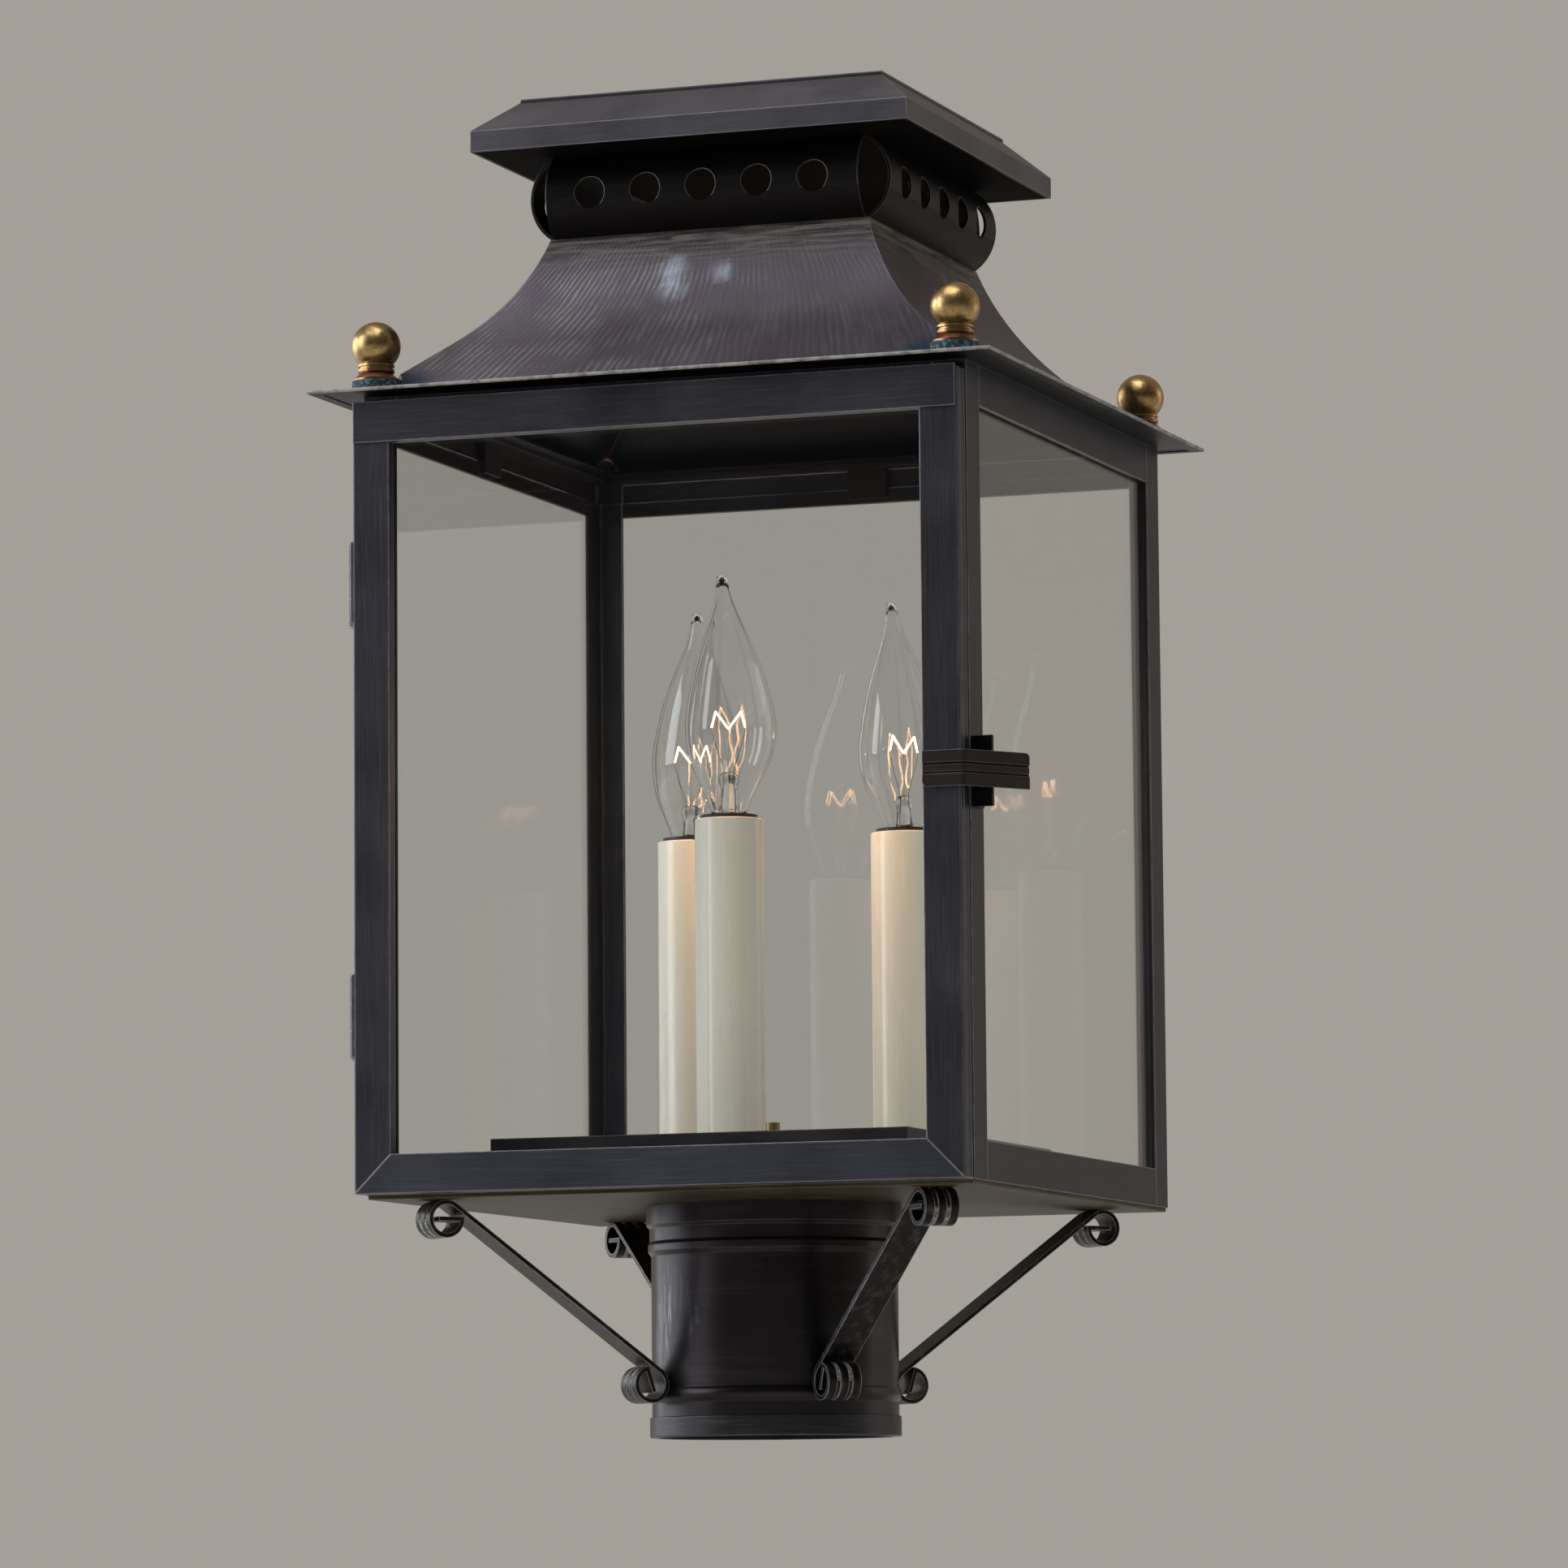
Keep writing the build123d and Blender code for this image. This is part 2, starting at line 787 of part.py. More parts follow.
def roof_skirt():
    """Thin flared roof, open above and below, nipped round the feet of the finials."""
    inner = pavilion(skirt_wall)
    with BuildPart() as skirt:
        add(pavilion(0).part)
        add(inner.part, mode=Mode.SUBTRACT)
        nip = finial_washer_radius + finial_play
        with GridLocations(2 * finial_x, 2 * finial_y, 2, 2):
            with Locations((0, 0, plate_top + skirt_height / 2)):
                Cylinder(nip, skirt_height, mode=Mode.SUBTRACT)
    return skirt


def vent_strip(quarter):
    """Bulged strip with five round holes on one side of the neck, open at both ends."""
    half_chord = vent_height / 2
    radius = (half_chord**2 + vent_bulge**2) / (2 * vent_bulge)
    middle = neck_level + half_chord
    centre = neck_width / 2 + vent_bulge - radius
    hole_reach = neck_width / 2 + vent_bulge
    with BuildPart() as strip:
        with BuildSketch(Plane.YZ):
            with Locations((-centre, middle)):
                Circle(radius)
                Circle(radius - vent_sheet, mode=Mode.SUBTRACT)
            with Locations((-centre - radius / 2, middle)):
                Rectangle(radius, vent_height, mode=Mode.INTERSECT)
        extrude(amount=vent_length / 2, both=True)
        with Locations(Location((0, -hole_reach, middle), (90, 0, 0))):
            with GridLocations(vent_hole_pitch, 1, vent_hole_count, 1):
                Cylinder(vent_hole_radius, 4 * vent_bulge, mode=Mode.SUBTRACT)
        for way in (-1, 1):
            split(bisect_by=Plane(origin=(0, 0, 0), z_dir=(way, 1, 0)), keep=Keep.BOTTOM)
    with BuildPart() as placed:
        with Locations(Rot(0, 0, 90 * quarter)):
            add(strip.part)
    return placed


def cap_form(width, top_width, shoulder, top):
    """Solid block from the soffit up, with upright sides and a bevelled top."""
    with BuildPart() as form:
        with BuildSketch(Plane.XY.offset(soffit_level)):
            Rectangle(width, width)
        extrude(amount=shoulder - soffit_level)
        with BuildSketch(Plane.XY.offset(shoulder)):
            Rectangle(width, width)
        with BuildSketch(Plane.XY.offset(top)):
            Rectangle(top_width, top_width)
        loft()
    return form


def cap_shell():
    """Cap with an upright fascia and a bevelled top, hollow from below."""
    shoulder = soffit_level + cap_fascia
    top = shoulder + cap_rise
    walls = 2 * cap_sheet
    outside = cap_form(cap_width, cap_top_width, shoulder, top)
    hollow = cap_form(cap_width - walls, cap_top_width - walls, shoulder - cap_sheet / 2, top - cap_sheet)
    with BuildPart() as cap:
        add(outside.part)
        add(hollow.part, mode=Mode.SUBTRACT)
    return cap


def cap_panel():
    """Flat top sheet of the cap with a low folded rim."""
    base = soffit_level + cap_fascia + cap_rise
    inner = cap_top_width - 2 * cap_panel_rim
    with BuildPart() as panel:
        with BuildSketch(Plane.XY.offset(base)):
            Rectangle(cap_top_width, cap_top_width)
        extrude(amount=cap_panel_sheet)
        with BuildSketch(Plane.XY.offset(base + cap_panel_sheet)):
            Rectangle(cap_top_width, cap_top_width)
            Rectangle(inner, inner, mode=Mode.SUBTRACT)
        extrude(amount=cap_panel_rim_rise)
    return panel


def cap_soffit():
    """Sheet that closes the cap from below and lies on the vent strips."""
    with BuildPart() as soffit:
        with BuildSketch(Plane.XY.offset(soffit_level)):
            Rectangle(cap_width - 2 * cap_sheet, cap_width - 2 * cap_sheet)
        extrude(amount=cap_sheet)
    return soffit


# ------------------------------------------------------------------ finials
def finial_washers():
    with BuildPart() as washers:
        with GridLocations(2 * finial_x, 2 * finial_y, 2, 2):
            with Locations((0, 0, plate_top + finial_washer_height / 2)):
                Cylinder(finial_washer_radius, finial_washer_height)
                Cylinder(finial_stud_radius, finial_washer_height, mode=Mode.SUBTRACT)
    return washers


def corner_finials():
    """Turned ball finials on studs that pass through the washers and the eaves plate."""
    seat = plate_top + finial_washer_height
    ball = plate_top + finial_ball_level
    ball_foot = ball - sqrt(finial_ball_radius**2 - finial_neck_radius**2)
    # above the flared foot the neck carries two rings, its height shared out in quarters
    waist = seat + finial_foot_height
    reel = (ball_foot - waist) / 4
    with BuildPart() as finial:
        with BuildSketch(Plane.XZ):
            with BuildLine():
                Polyline(
                    (0, body_top),
                    (finial_stud_radius, body_top),
                    (finial_stud_radius, seat),
                    (finial_foot_radius, seat),
                    (finial_foot_radius, seat + finial_foot_height / 3),
                    (finial_neck_radius, waist + reel / 2),
                    (finial_ring_radius, waist + reel),
                    (finial_ring_radius, waist + 2 * reel),
                    (finial_neck_radius, waist + 2.3 * reel),
                    (finial_neck_radius, waist + 2.8 * reel),
                    (finial_ring_radius, waist + 3 * reel),
                    (finial_ring_radius, waist + 3.7 * reel),
                    (finial_neck_radius, ball_foot),
                )
                ThreePointArc(
                    (finial_neck_radius, ball_foot),
                    (finial_ball_radius, ball),
                    (0, ball + finial_ball_radius),
                )
                Line((0, ball + finial_ball_radius), (0, body_top))
            make_face()
        revolve(axis=Axis.Z)
    with BuildPart() as finials:
        with GridLocations(2 * finial_x, 2 * finial_y, 2, 2):
            add(finial.part)
    return finials


# ------------------------------------------------------------------ brackets
def scroll_bracket(angle):
    """Flat strap on one diagonal, curled at both ends, from the pan's underside down to the sleeve."""
    turn = radians(angle)
    diagonal = Plane(origin=(0, 0, 0), x_dir=(cos(turn), sin(turn), 0), z_dir=(sin(turn), -cos(turn), 0))
    upper = Vector(bracket_top_reach, pan_bottom - bracket_curl_radius)
    lower = Vector(sleeve_radius + bracket_standoff + bracket_curl_radius, bracket_bottom_level)
    slope = degrees(atan2(upper.Y - lower.Y, upper.X - lower.X))
    middle = bracket_curl_radius - bracket_sheet / 2
    outward = Vector(-sin(radians(slope)), cos(radians(slope)))
    lower_end = Vector(cos(radians(2 * slope)), sin(radians(2 * slope)))
    with BuildPart() as bracket:
        with BuildSketch(diagonal):
            with BuildLine() as path:
                Line(lower + outward * middle, upper + outward * middle)
                CenterArc(upper, middle, 90 + slope, -(270 + slope))
                Line(upper - Vector(middle, 0), upper + Vector(bracket_tail, 0))
                CenterArc(lower, middle, 90 + slope, 270 + slope)
                Line(lower + lower_end * middle, lower - lower_end * bracket_tail)
            trace(path.line, line_width=bracket_sheet)
        extrude(amount=bracket_width / 2, both=True)
        # two narrow grooves run round the outside of both curls
        for centre in (upper, lower):
            for way in (-1, 1):
                with BuildSketch(diagonal.offset(way * bracket_groove_spacing / 2)):
                    with Locations(centre):
                        Circle(bracket_curl_radius)
                        Circle(bracket_curl_radius - bracket_groove_depth, mode=Mode.SUBTRACT)
                extrude(amount=bracket_groove_width / 2, both=True, mode=Mode.SUBTRACT)
        # a pad of solder fills the gap to the sleeve
        with BuildSketch(diagonal):
            with Locations(lower - Vector(bracket_curl_radius, -bracket_pad_height / 2)):
                Rectangle(2 * bracket_sheet, bracket_pad_height)
        extrude(amount=bracket_pad_width / 2, both=True)
        Cylinder(sleeve_radius, 2 * fitter_length, mode=Mode.SUBTRACT)
    return bracket


# ------------------------------------------------------------------ candle cluster
def wiring_cover():
    """Inverted tray on the pan that hides the wiring and carries the candles."""
    with BuildPart() as cover:
        with BuildSketch(Plane.XY.offset(body_base)):
            Rectangle(cover_width, cover_width)
        extrude(amount=cover_height)
        with BuildSketch(Plane.XY.offset(body_base)):
            Rectangle(cover_width - 2 * cover_sheet, cover_width - 2 * cover_sheet)
        extrude(amount=cover_height - cover_sheet, mode=Mode.SUBTRACT)
        with BuildSketch(Plane.XY.offset(cover_top)):
            Circle(stud_radius)
            for centre in candle_centres():
                with Locations(centre):
                    Circle(stem_radius)
        extrude(amount=-cover_sheet, mode=Mode.SUBTRACT)
    return cover


def centre_stud():
    """Stud that clamps the wiring cover to the pan, flush below it, its collar soldered down on top."""
    with BuildPart() as stud:
        with BuildSketch(Plane.XY.offset(pan_bottom)):
            Circle(stud_radius)
        extrude(amount=cover_top + stud_projection - pan_bottom)
        with BuildSketch(Plane.XY.offset(body_base)):
            RegularPolygon(nut_across_flats / 2, 6, major_radius=False)
        extrude(amount=stud_head_height)
    return stud


def centre_nut():
    with BuildPart() as nut:
        with BuildSketch(Plane.XY.offset(cover_top)):
            RegularPolygon(nut_across_flats / 2, 6, major_radius=False)
            Circle(stud_radius, mode=Mode.SUBTRACT)
        extrude(amount=nut_height)
    return nut


def socket_stems():
    """Threaded pipes through the cover that carry the sockets and lead the wires up."""
    low = cover_top - stem_tail
    with BuildPart() as stems:
        with BuildSketch(Plane.XY.offset(low)):
            for centre in candle_centres():
                with Locations(centre):
                    Circle(stem_radius)
                    Circle(stem_bore, mode=Mode.SUBTRACT)
        extrude(amount=stem_tail + stem_height)
    return stems


def lamp_sockets():
    """Insulating sockets on the stems, each with a blind bore for the bulb's base."""
    low = cover_top + stem_height
    with BuildPart() as sockets:
        with BuildSketch(Plane.XY.offset(low)):
            for centre in candle_centres():
                with Locations(centre):
                    Circle(socket_radius)
        extrude(amount=socket_top - low)
        with BuildSketch(Plane.XY.offset(socket_top)):
            for centre in candle_centres():
                with Locations(centre):
                    Circle(bulb_base_radius + bulb_play)
        extrude(amount=-socket_bore_depth, mode=Mode.SUBTRACT)
        with BuildSketch(Plane.XY.offset(socket_top)):
            for centre in candle_centres():
                with Locations(centre):
                    Circle(socket_mouth_radius)
        extrude(amount=-socket_mouth_depth, mode=Mode.SUBTRACT)
    return sockets


def candle_sleeve(centre):
    with BuildPart() as sleeve:
        with BuildSketch(Plane.XY.offset(cover_top)):
            with Locations(centre):
                Circle(candle_radius)
                Circle(candle_radius - candle_wall, mode=Mode.SUBTRACT)
        extrude(amount=candle_height)
        rims = sleeve.edges().filter_by(GeomType.CIRCLE).group_by(Axis.Z)[-1]
        fillet(rims, candle_wall * 0.3)
    return sleeve


# ------------------------------------------------------------------ bulbs
def bulb_neck(lift):
    """Level where a bulb's glass starts, for a bulb turned in to this height above the socket's floor."""
    return socket_floor + bulb_play + lift + bulb_base_height


def bulb_base(centre, lift):
    """Screw shell and contact of a bulb; its thread is left as a plain cylinder."""
    bulb_seat = bulb_neck(lift) - bulb_base_height
    with BuildPart() as base:
        with BuildSketch(Plane.XY.offset(bulb_seat)):
            with Locations(centre):
                Circle(bulb_contact_radius)
        extrude(amount=bulb_contact_height)
        with BuildSketch(Plane.XY.offset(bulb_seat + bulb_contact_height)):
            with Locations(centre):
                Circle(bulb_base_radius)
        extrude(amount=bulb_base_height - bulb_contact_height)
    return base


def bulb_aside(height, lean):
    """How far the glass stands aside at a height, from its offsets at its widest place and at its tip."""
    at_widest, at_tip = lean
    risen = min(1.0, height / bulb_widest)
    beyond = max(0.0, height - bulb_widest) / (bulb_flame[-1][0] - bulb_widest)
    return at_widest * risen + (at_tip - at_widest) * beyond**bulb_lean_power


def bulb_form(centre, lift, lean, wall, top):
    """Lofted flame shape of the glass, drawn in by wall, up to a height above the neck."""
    with BuildPart() as form:
        for height, radius in bulb_flame:
            if height <= top:
                with BuildSketch(Plane.XY.offset(bulb_neck(lift) + height)):
                    with Locations((centre[0] + bulb_aside(height, lean), centre[1])):
                        Circle(radius - wall)
        loft()
    return form


def bulb_glass(centre, lift, lean):
    """Thin flame-shaped glass with its tip drawn out and bent aside."""
    outside = bulb_form(centre, lift, lean, 0, bulb_flame[-1][0])
    hollow = bulb_form(centre, lift, lean, bulb_glass_wall, bulb_hollow_height)
    with BuildPart() as glass:
        add(outside.part)
        add(hollow.part, mode=Mode.SUBTRACT)
    return glass


def bulb_filament(centre, lift):
    """Glass stem with two lead wires and a zigzag filament between them."""
    neck = bulb_neck(lift)
    low = neck + filament_level - filament_drop
    high = neck + filament_level + filament_rise
    dip = neck + filament_level - filament_dip
    half = filament_span / 2
    points = [
        (centre[0] - half, low),
        (centre[0] - half * filament_peak, high),
        (centre[0], dip),
        (centre[0] + half * filament_peak, high),
        (centre[0] + half, low),
    ]
    with BuildPart() as mount:
        with BuildSketch(Plane.XY.offset(neck)):
            with Locations(centre):
                Circle(bulb_stem_radius)
        with BuildSketch(Plane.XY.offset(neck + bulb_stem_height)):
            with Locations(centre):
                Rectangle(2 * bulb_stem_radius, bulb_pinch_thickness)
        loft()
        with BuildSketch(Plane.XZ.offset(-centre[1])):
            for way in (-1, 1):
                foot = (centre[0] + way * filament_lead_foot, neck + bulb_stem_height - filament_lead_foot)
                with BuildLine() as lead:
                    Line(foot, (centre[0] + way * half, low))
                trace(lead.line, line_width=2 * filament_wire)
            with BuildLine() as zigzag:
                Polyline(*points)
            trace(zigzag.line, line_width=2 * filament_wire)
        extrude(amount=filament_wire, both=True)
    return mount


# ------------------------------------------------------------------ build every piece
finish(fitter_sleeve(), "fitter_sleeve")
finish(fitter_band(), "fitter_band")
finish(set_screws(), "set_screws")
finish(base_pan(), "base_pan")
for side_name, side in SIDES.items():
    for face_name, face in FACES.items():
        finish(corner_post(side, face), f"corner_post_{face_name}_{side_name}")
        finish(scroll_bracket(degrees(atan2(face, side))), f"scroll_bracket_{face_name}_{side_name}")
finish(side_rails(body_base, 1, bottom_rail_height), "bottom_rails_side")
finish(face_rails(body_base, 1, bottom_rail_height), "bottom_rails_front_back")
finish(side_rails(body_top, -1, top_rail_height), "top_rails_side")
finish(face_rails(body_top, -1, top_rail_height), "top_rails_front_back")

for side_name, side in SIDES.items():
    finish(side_pane(side), f"pane_{side_name}")
    finish(door_stile(side), f"door_stile_{side_name}")
finish(back_pane(), "pane_back")
finish(pane_clips(), "pane_clips")

finish(door_bottom_rail(), "door_rail_bottom")
finish(door_top_rail_bar(), "door_rail_top")
finish(door_pane(), "door_pane")
finish(door_clips(), "door_clips")
finish(body_leaves(), "hinge_leaves_body")
finish(door_leaves(), "hinge_leaves_door")
finish(hinge_pins(), "hinge_pins")
finish(latch_strap(), "latch_strap")
finish(latch_rivets(), "latch_rivets")
finish(catch_plate(), "catch_plate")

finish(roof_plate(), "roof_plate")
finish(roof_skirt(), "roof_skirt")
for quarter, face_name in enumerate(("front", "right", "back", "left")):
    finish(vent_strip(quarter), f"vent_{face_name}")
finish(cap_shell(), "cap_shell")
finish(cap_panel(), "cap_panel")
finish(cap_soffit(), "cap_soffit")
finish(finial_washers(), "finial_washers")
finish(corner_finials(), "corner_finials")

finish(wiring_cover(), "wiring_cover")
finish(centre_stud(), "centre_stud")
finish(centre_nut(), "centre_nut")
finish(socket_stems(), "socket_stems")
finish(lamp_sockets(), "lamp_sockets")
for index, centre in enumerate(candle_centres()):
    number = index + 1
    lift = bulb_lifts[index]
    finish(candle_sleeve(centre), f"candle_sleeve_{number}")
    finish(bulb_base(centre, lift), f"bulb_{number}_base")
    finish(bulb_glass(centre, lift, bulb_leans[index]), f"bulb_{number}_glass")
    finish(bulb_filament(centre, lift), f"bulb_{number}_filament")
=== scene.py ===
from math import cos, pi, radians, sin, sqrt

import bmesh
import bpy
from mathutils import Matrix, Vector


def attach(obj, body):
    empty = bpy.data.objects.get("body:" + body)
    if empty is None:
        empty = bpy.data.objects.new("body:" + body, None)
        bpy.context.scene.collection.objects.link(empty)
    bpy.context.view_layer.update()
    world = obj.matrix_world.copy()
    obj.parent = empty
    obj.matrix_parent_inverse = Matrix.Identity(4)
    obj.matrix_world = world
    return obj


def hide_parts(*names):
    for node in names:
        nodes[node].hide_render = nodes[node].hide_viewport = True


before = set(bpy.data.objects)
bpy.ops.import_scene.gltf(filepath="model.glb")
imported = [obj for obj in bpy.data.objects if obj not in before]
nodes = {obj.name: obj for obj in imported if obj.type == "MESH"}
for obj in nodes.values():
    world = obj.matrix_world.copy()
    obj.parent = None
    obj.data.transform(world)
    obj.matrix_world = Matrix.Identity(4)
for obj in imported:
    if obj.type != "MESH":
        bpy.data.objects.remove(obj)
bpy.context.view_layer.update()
scene = bpy.context.scene

# ---------------------------------------------------------------- camera, at the photograph's place
IMAGE_PIXELS = 1932
FOCAL_PIXELS = 9205.75
CAMERA_PLACE = Vector((0.8269, -2.2794, -0.0475))
CAMERA_AZIMUTH = radians(19.837)
CAMERA_PITCH = radians(6.12)
CAMERA_ROLL = radians(-0.481)


def make_camera():
    level = Vector((-sin(CAMERA_AZIMUTH), cos(CAMERA_AZIMUTH), 0))
    side = Vector((cos(CAMERA_AZIMUTH), sin(CAMERA_AZIMUTH), 0))
    up = Vector((0, 0, 1))
    ahead = level * cos(CAMERA_PITCH) + up * sin(CAMERA_PITCH)
    over = up * cos(CAMERA_PITCH) - level * sin(CAMERA_PITCH)
    right = side * cos(CAMERA_ROLL) + over * sin(CAMERA_ROLL)
    above = over * cos(CAMERA_ROLL) - side * sin(CAMERA_ROLL)
    data = bpy.data.cameras.new("camera")
    data.sensor_width = 36
    data.lens = FOCAL_PIXELS / IMAGE_PIXELS * data.sensor_width
    data.clip_start = 0.05
    data.clip_end = 60
    camera = bpy.data.objects.new("camera", data)
    scene.collection.objects.link(camera)
    turn = Matrix((right, above, -ahead)).transposed()
    camera.matrix_world = Matrix.Translation(CAMERA_PLACE) @ turn.to_4x4()
    scene.camera = camera


make_camera()

# ---------------------------------------------------------------- places on the lantern, in metres
# the body's inside, between two levels and just within its outer faces
INSIDE_FLOOR = 0.0795
EAVES_LEVEL = 0.3305
BODY_SKIN = 0.1009
PLATE_HEM = 0.1144  # where the roof plate's folded edge begins
SKIRT_FOOT = 0.3325
PER_SKIRT_HEIGHT = 18.3  # one over the height of the skirt's slope
ROOF_NECK = 0.3895  # the roof's upright neck stands above this level
CAP_SHADOW_LINE = 0.4316  # level of the painted shadow line under the cap's top sheet
STRAP_GROOVES = (0.2040, 0.2012)
LINE_HALF_WIDTH = 0.0004
FINIAL_FOOT = 0.3366
PER_FINIAL_FOOT = 190  # one over the height of a finial's foot
# the fanned marks on each slope would meet at the apex; the middle of a slope is this far below it
FAN_APEX = 0.452
FAN_MIDDLE = 0.092
# both in radians of the marks' wave
FAN_MARKS = 262
FAN_WAVER = 11
CORNER_STAIN = (0.086, 0.0963, 0.336)
# place, reach and strength of each pale rub on the roof
PALE_RUBS = (
    ((-0.0100, -0.064, 0.3745), 0.0105, 0.75),
    ((-0.0085, -0.066, 0.3665), 0.0095, 0.6),
    ((0.0070, -0.064, 0.3725), 0.0085, 0.55),
    ((0.064, 0.010, 0.374), 0.012, 0.4),
    ((-0.063, 0.024, 0.372), 0.012, 0.4),
    ((0.018, 0.066, 0.371), 0.012, 0.4),
)
SLEEVE_SCUFF = (-0.0285, -0.0276, 0.038)
GREEN_CORNER = (-0.1001, 0.1027)
BEVEL_SAMPLES = 6


# ---------------------------------------------------------------- shader helper
class Shade:
    """A node material built step by step around one Principled shader."""

    def __init__(self, name, **sockets):
        self.mat = bpy.data.materials.new(name)
        self.mat.use_nodes = True
        self.tree = self.mat.node_tree
        self.bsdf = self.tree.nodes["Principled BSDF"]
        self.out = self.tree.nodes["Material Output"]
        self.place = self.node("ShaderNodeTexCoord").outputs["Object"]
        self.set(**sockets)

    def set(self, **sockets):
        for key, value in sockets.items():
            self.plug(self.bsdf.inputs[key.replace("_", " ")], value)

    def plug(self, socket, value):
        if isinstance(value, bpy.types.NodeSocket):
            self.tree.links.new(value, socket)
        elif isinstance(value, tuple) and len(socket.default_value) == 4 and len(value) == 3:
            socket.default_value = (*value, 1)
        else:
            socket.default_value = value

    def node(self, kind, settings=None, **inputs):
        """Adds a node; i0, i1 and so on are its sockets by number."""
        made = self.tree.nodes.new(kind)
        for key, value in (settings or {}).items():
            setattr(made, key, value)
        for key, value in inputs.items():
            numbered = key[0] == "i" and key[1:].isdigit()
            self.plug(made.inputs[int(key[1:]) if numbered else key], value)
        return made

    def part(self, axis, vector=None):
        """One coordinate of a vector, or else of the place."""
        source = self.place if vector is None else vector
        return self.node("ShaderNodeSeparateXYZ", Vector=source).outputs[axis]

    def stretch(self, scale, turn=(0, 0, 0), vector=None):
        """A vector, or else the place, turned and then scaled along each axis."""
        source = self.place if vector is None else vector
        return self.node("ShaderNodeMapping", Vector=source, Rotation=turn, Scale=scale).outputs[0]

    def noise(self, place, scale=1.0, detail=4.0, roughness=0.55, distortion=0.0):
        made = self.node("ShaderNodeTexNoise", Vector=place, Scale=scale, Detail=detail,
                         Distortion=distortion)
        made.inputs["Roughness"].default_value = roughness
        return made.outputs["Fac"]

    def ramp(self, fac, *stops):
        """Colour ramp through (position, value) stops; a value is a grey or a colour."""
        made = self.node("ShaderNodeValToRGB", Fac=fac)
        keys = made.color_ramp.elements
        while len(keys) < len(stops):
            keys.new(0.5)
        for key, (position, value) in zip(keys, stops):
            key.position = position
            key.color = (*value, 1) if isinstance(value, tuple) else (value, value, value, 1)
        return made.outputs["Color"]

    def mix(self, fac, first, second):
        made = self.node("ShaderNodeMix", {"data_type": "RGBA"})
        self.plug(made.inputs["Factor"], fac)
        self.plug(made.inputs[6], first)
        self.plug(made.inputs[7], second)
        return made.outputs[2]

    def math(self, operation, first, second=0.0, clamp=False):
        settings = {"operation": operation, "use_clamp": clamp}
        return self.node("ShaderNodeMath", settings, i0=first, i1=second).outputs[0]

    def plus(self, first, second):
        return self.math("ADD", first, second)

    def minus(self, first, second, clamp=False):
        return self.math("SUBTRACT", first, second, clamp)

    def times(self, first, second, clamp=False):
        return self.math("MULTIPLY", first, second, clamp)

    def vectors(self, operation, *values, result="Vector"):
        """One step of vector arithmetic."""
        made = self.node("ShaderNodeVectorMath", {"operation": operation})
        for index, value in enumerate(values):
            self.plug(made.inputs[index], value)
        return made.outputs[result]

    def over(self, tone, colour, mask, amount):
        """Lays a colour over a tone where the mask says so, by no more than the amount."""
        return self.mix(self.times(mask, amount), tone, colour)

    def halves(self, first, second):
        return self.plus(self.times(first, 0.5), self.times(second, 0.5))

    def true_normal(self):
        return self.node("ShaderNodeNewGeometry").outputs["True Normal"]

    def rounded(self, radius):
        """The normal as it would be with every edge rounded to a radius."""
        return self.node("ShaderNodeBevel", {"samples": BEVEL_SAMPLES}, Radius=radius).outputs[0]

    def spot(self, centre, reach):
        """1 at a place in the frame, falling to 0 at reach, with a ragged border."""
        gap = self.vectors("DISTANCE", self.place, centre, result="Value")
        ragged = self.times(self.noise(self.place, 420, 4), reach * 0.5)
        return self.ramp(self.math("DIVIDE", self.plus(gap, ragged), reach), (0.45, 1.0), (1.0, 0.0))

    def spot_line(self, place, reach):
        """1 on an upright line through a place, falling to 0 at reach."""
        flat = self.vectors("MULTIPLY", self.place, (1, 1, 0))
        gap = self.vectors("DISTANCE", flat, (*place, 0), result="Value")
        return self.ramp(self.math("DIVIDE", gap, reach), (0.6, 1.0), (1.0, 0.0))

    def edge(self, radius):
        """Edge mask, for edge wear and painted edge highlights: how far a rounded normal leaves the true one.
        """
        normal = self.node("ShaderNodeNewGeometry").outputs["Normal"]
        along = self.vectors("DOT_PRODUCT", self.rounded(radius), normal, result="Value")
        return self.ramp(along, (0.80, 1.0), (0.985, 0.0))

    def level_line(self, level):
        """1 on a thin line at a level, with a soft border."""
        gap = self.math("ABSOLUTE", self.minus(self.part("Z"), level))
        return self.ramp(self.math("DIVIDE", gap, 2 * LINE_HALF_WIDTH), (0.35, 1.0), (0.65, 0.0))

    def outwards(self):
        """The larger of how far a place stands off the lantern's middle across and in depth."""
        parts = self.node("ShaderNodeSeparateXYZ", Vector=self.place)
        across = self.math("ABSOLUTE", parts.outputs["X"])
        return self.math("MAXIMUM", across, self.math("ABSOLUTE", parts.outputs["Y"]))

    def inner_shade_faces(self):
        """1 on the body's inner faces, and under and inside the roof, where shade is painted."""
        level = self.part("Z")
        normal = self.true_normal()
        flat = self.vectors("MULTIPLY", self.place, (1, 1, 0))
        facing = self.vectors("DOT_PRODUCT", normal, flat, result="Value")
        downwards = self.math("LESS_THAN", self.part("Z", normal), -0.25)
        inwards = self.math("MAXIMUM", downwards, self.math("LESS_THAN", facing, -0.004))
        under = self.times(self.math("GREATER_THAN", level, EAVES_LEVEL), inwards)
        within = self.math("LESS_THAN", self.outwards(), BODY_SKIN)
        inner = self.times(within, self.math("GREATER_THAN", level, INSIDE_FLOOR))
        inner = self.times(inner, self.math("LESS_THAN", level, EAVES_LEVEL))
        return self.math("MAXIMUM", under, inner)

    def bump(self, height, depth, strength=1.0, below=None):
        made = self.node("ShaderNodeBump", Height=height, Distance=depth, Strength=strength)
        if below is not None:
            self.plug(made.inputs["Normal"], below)
        return made.outputs["Normal"]

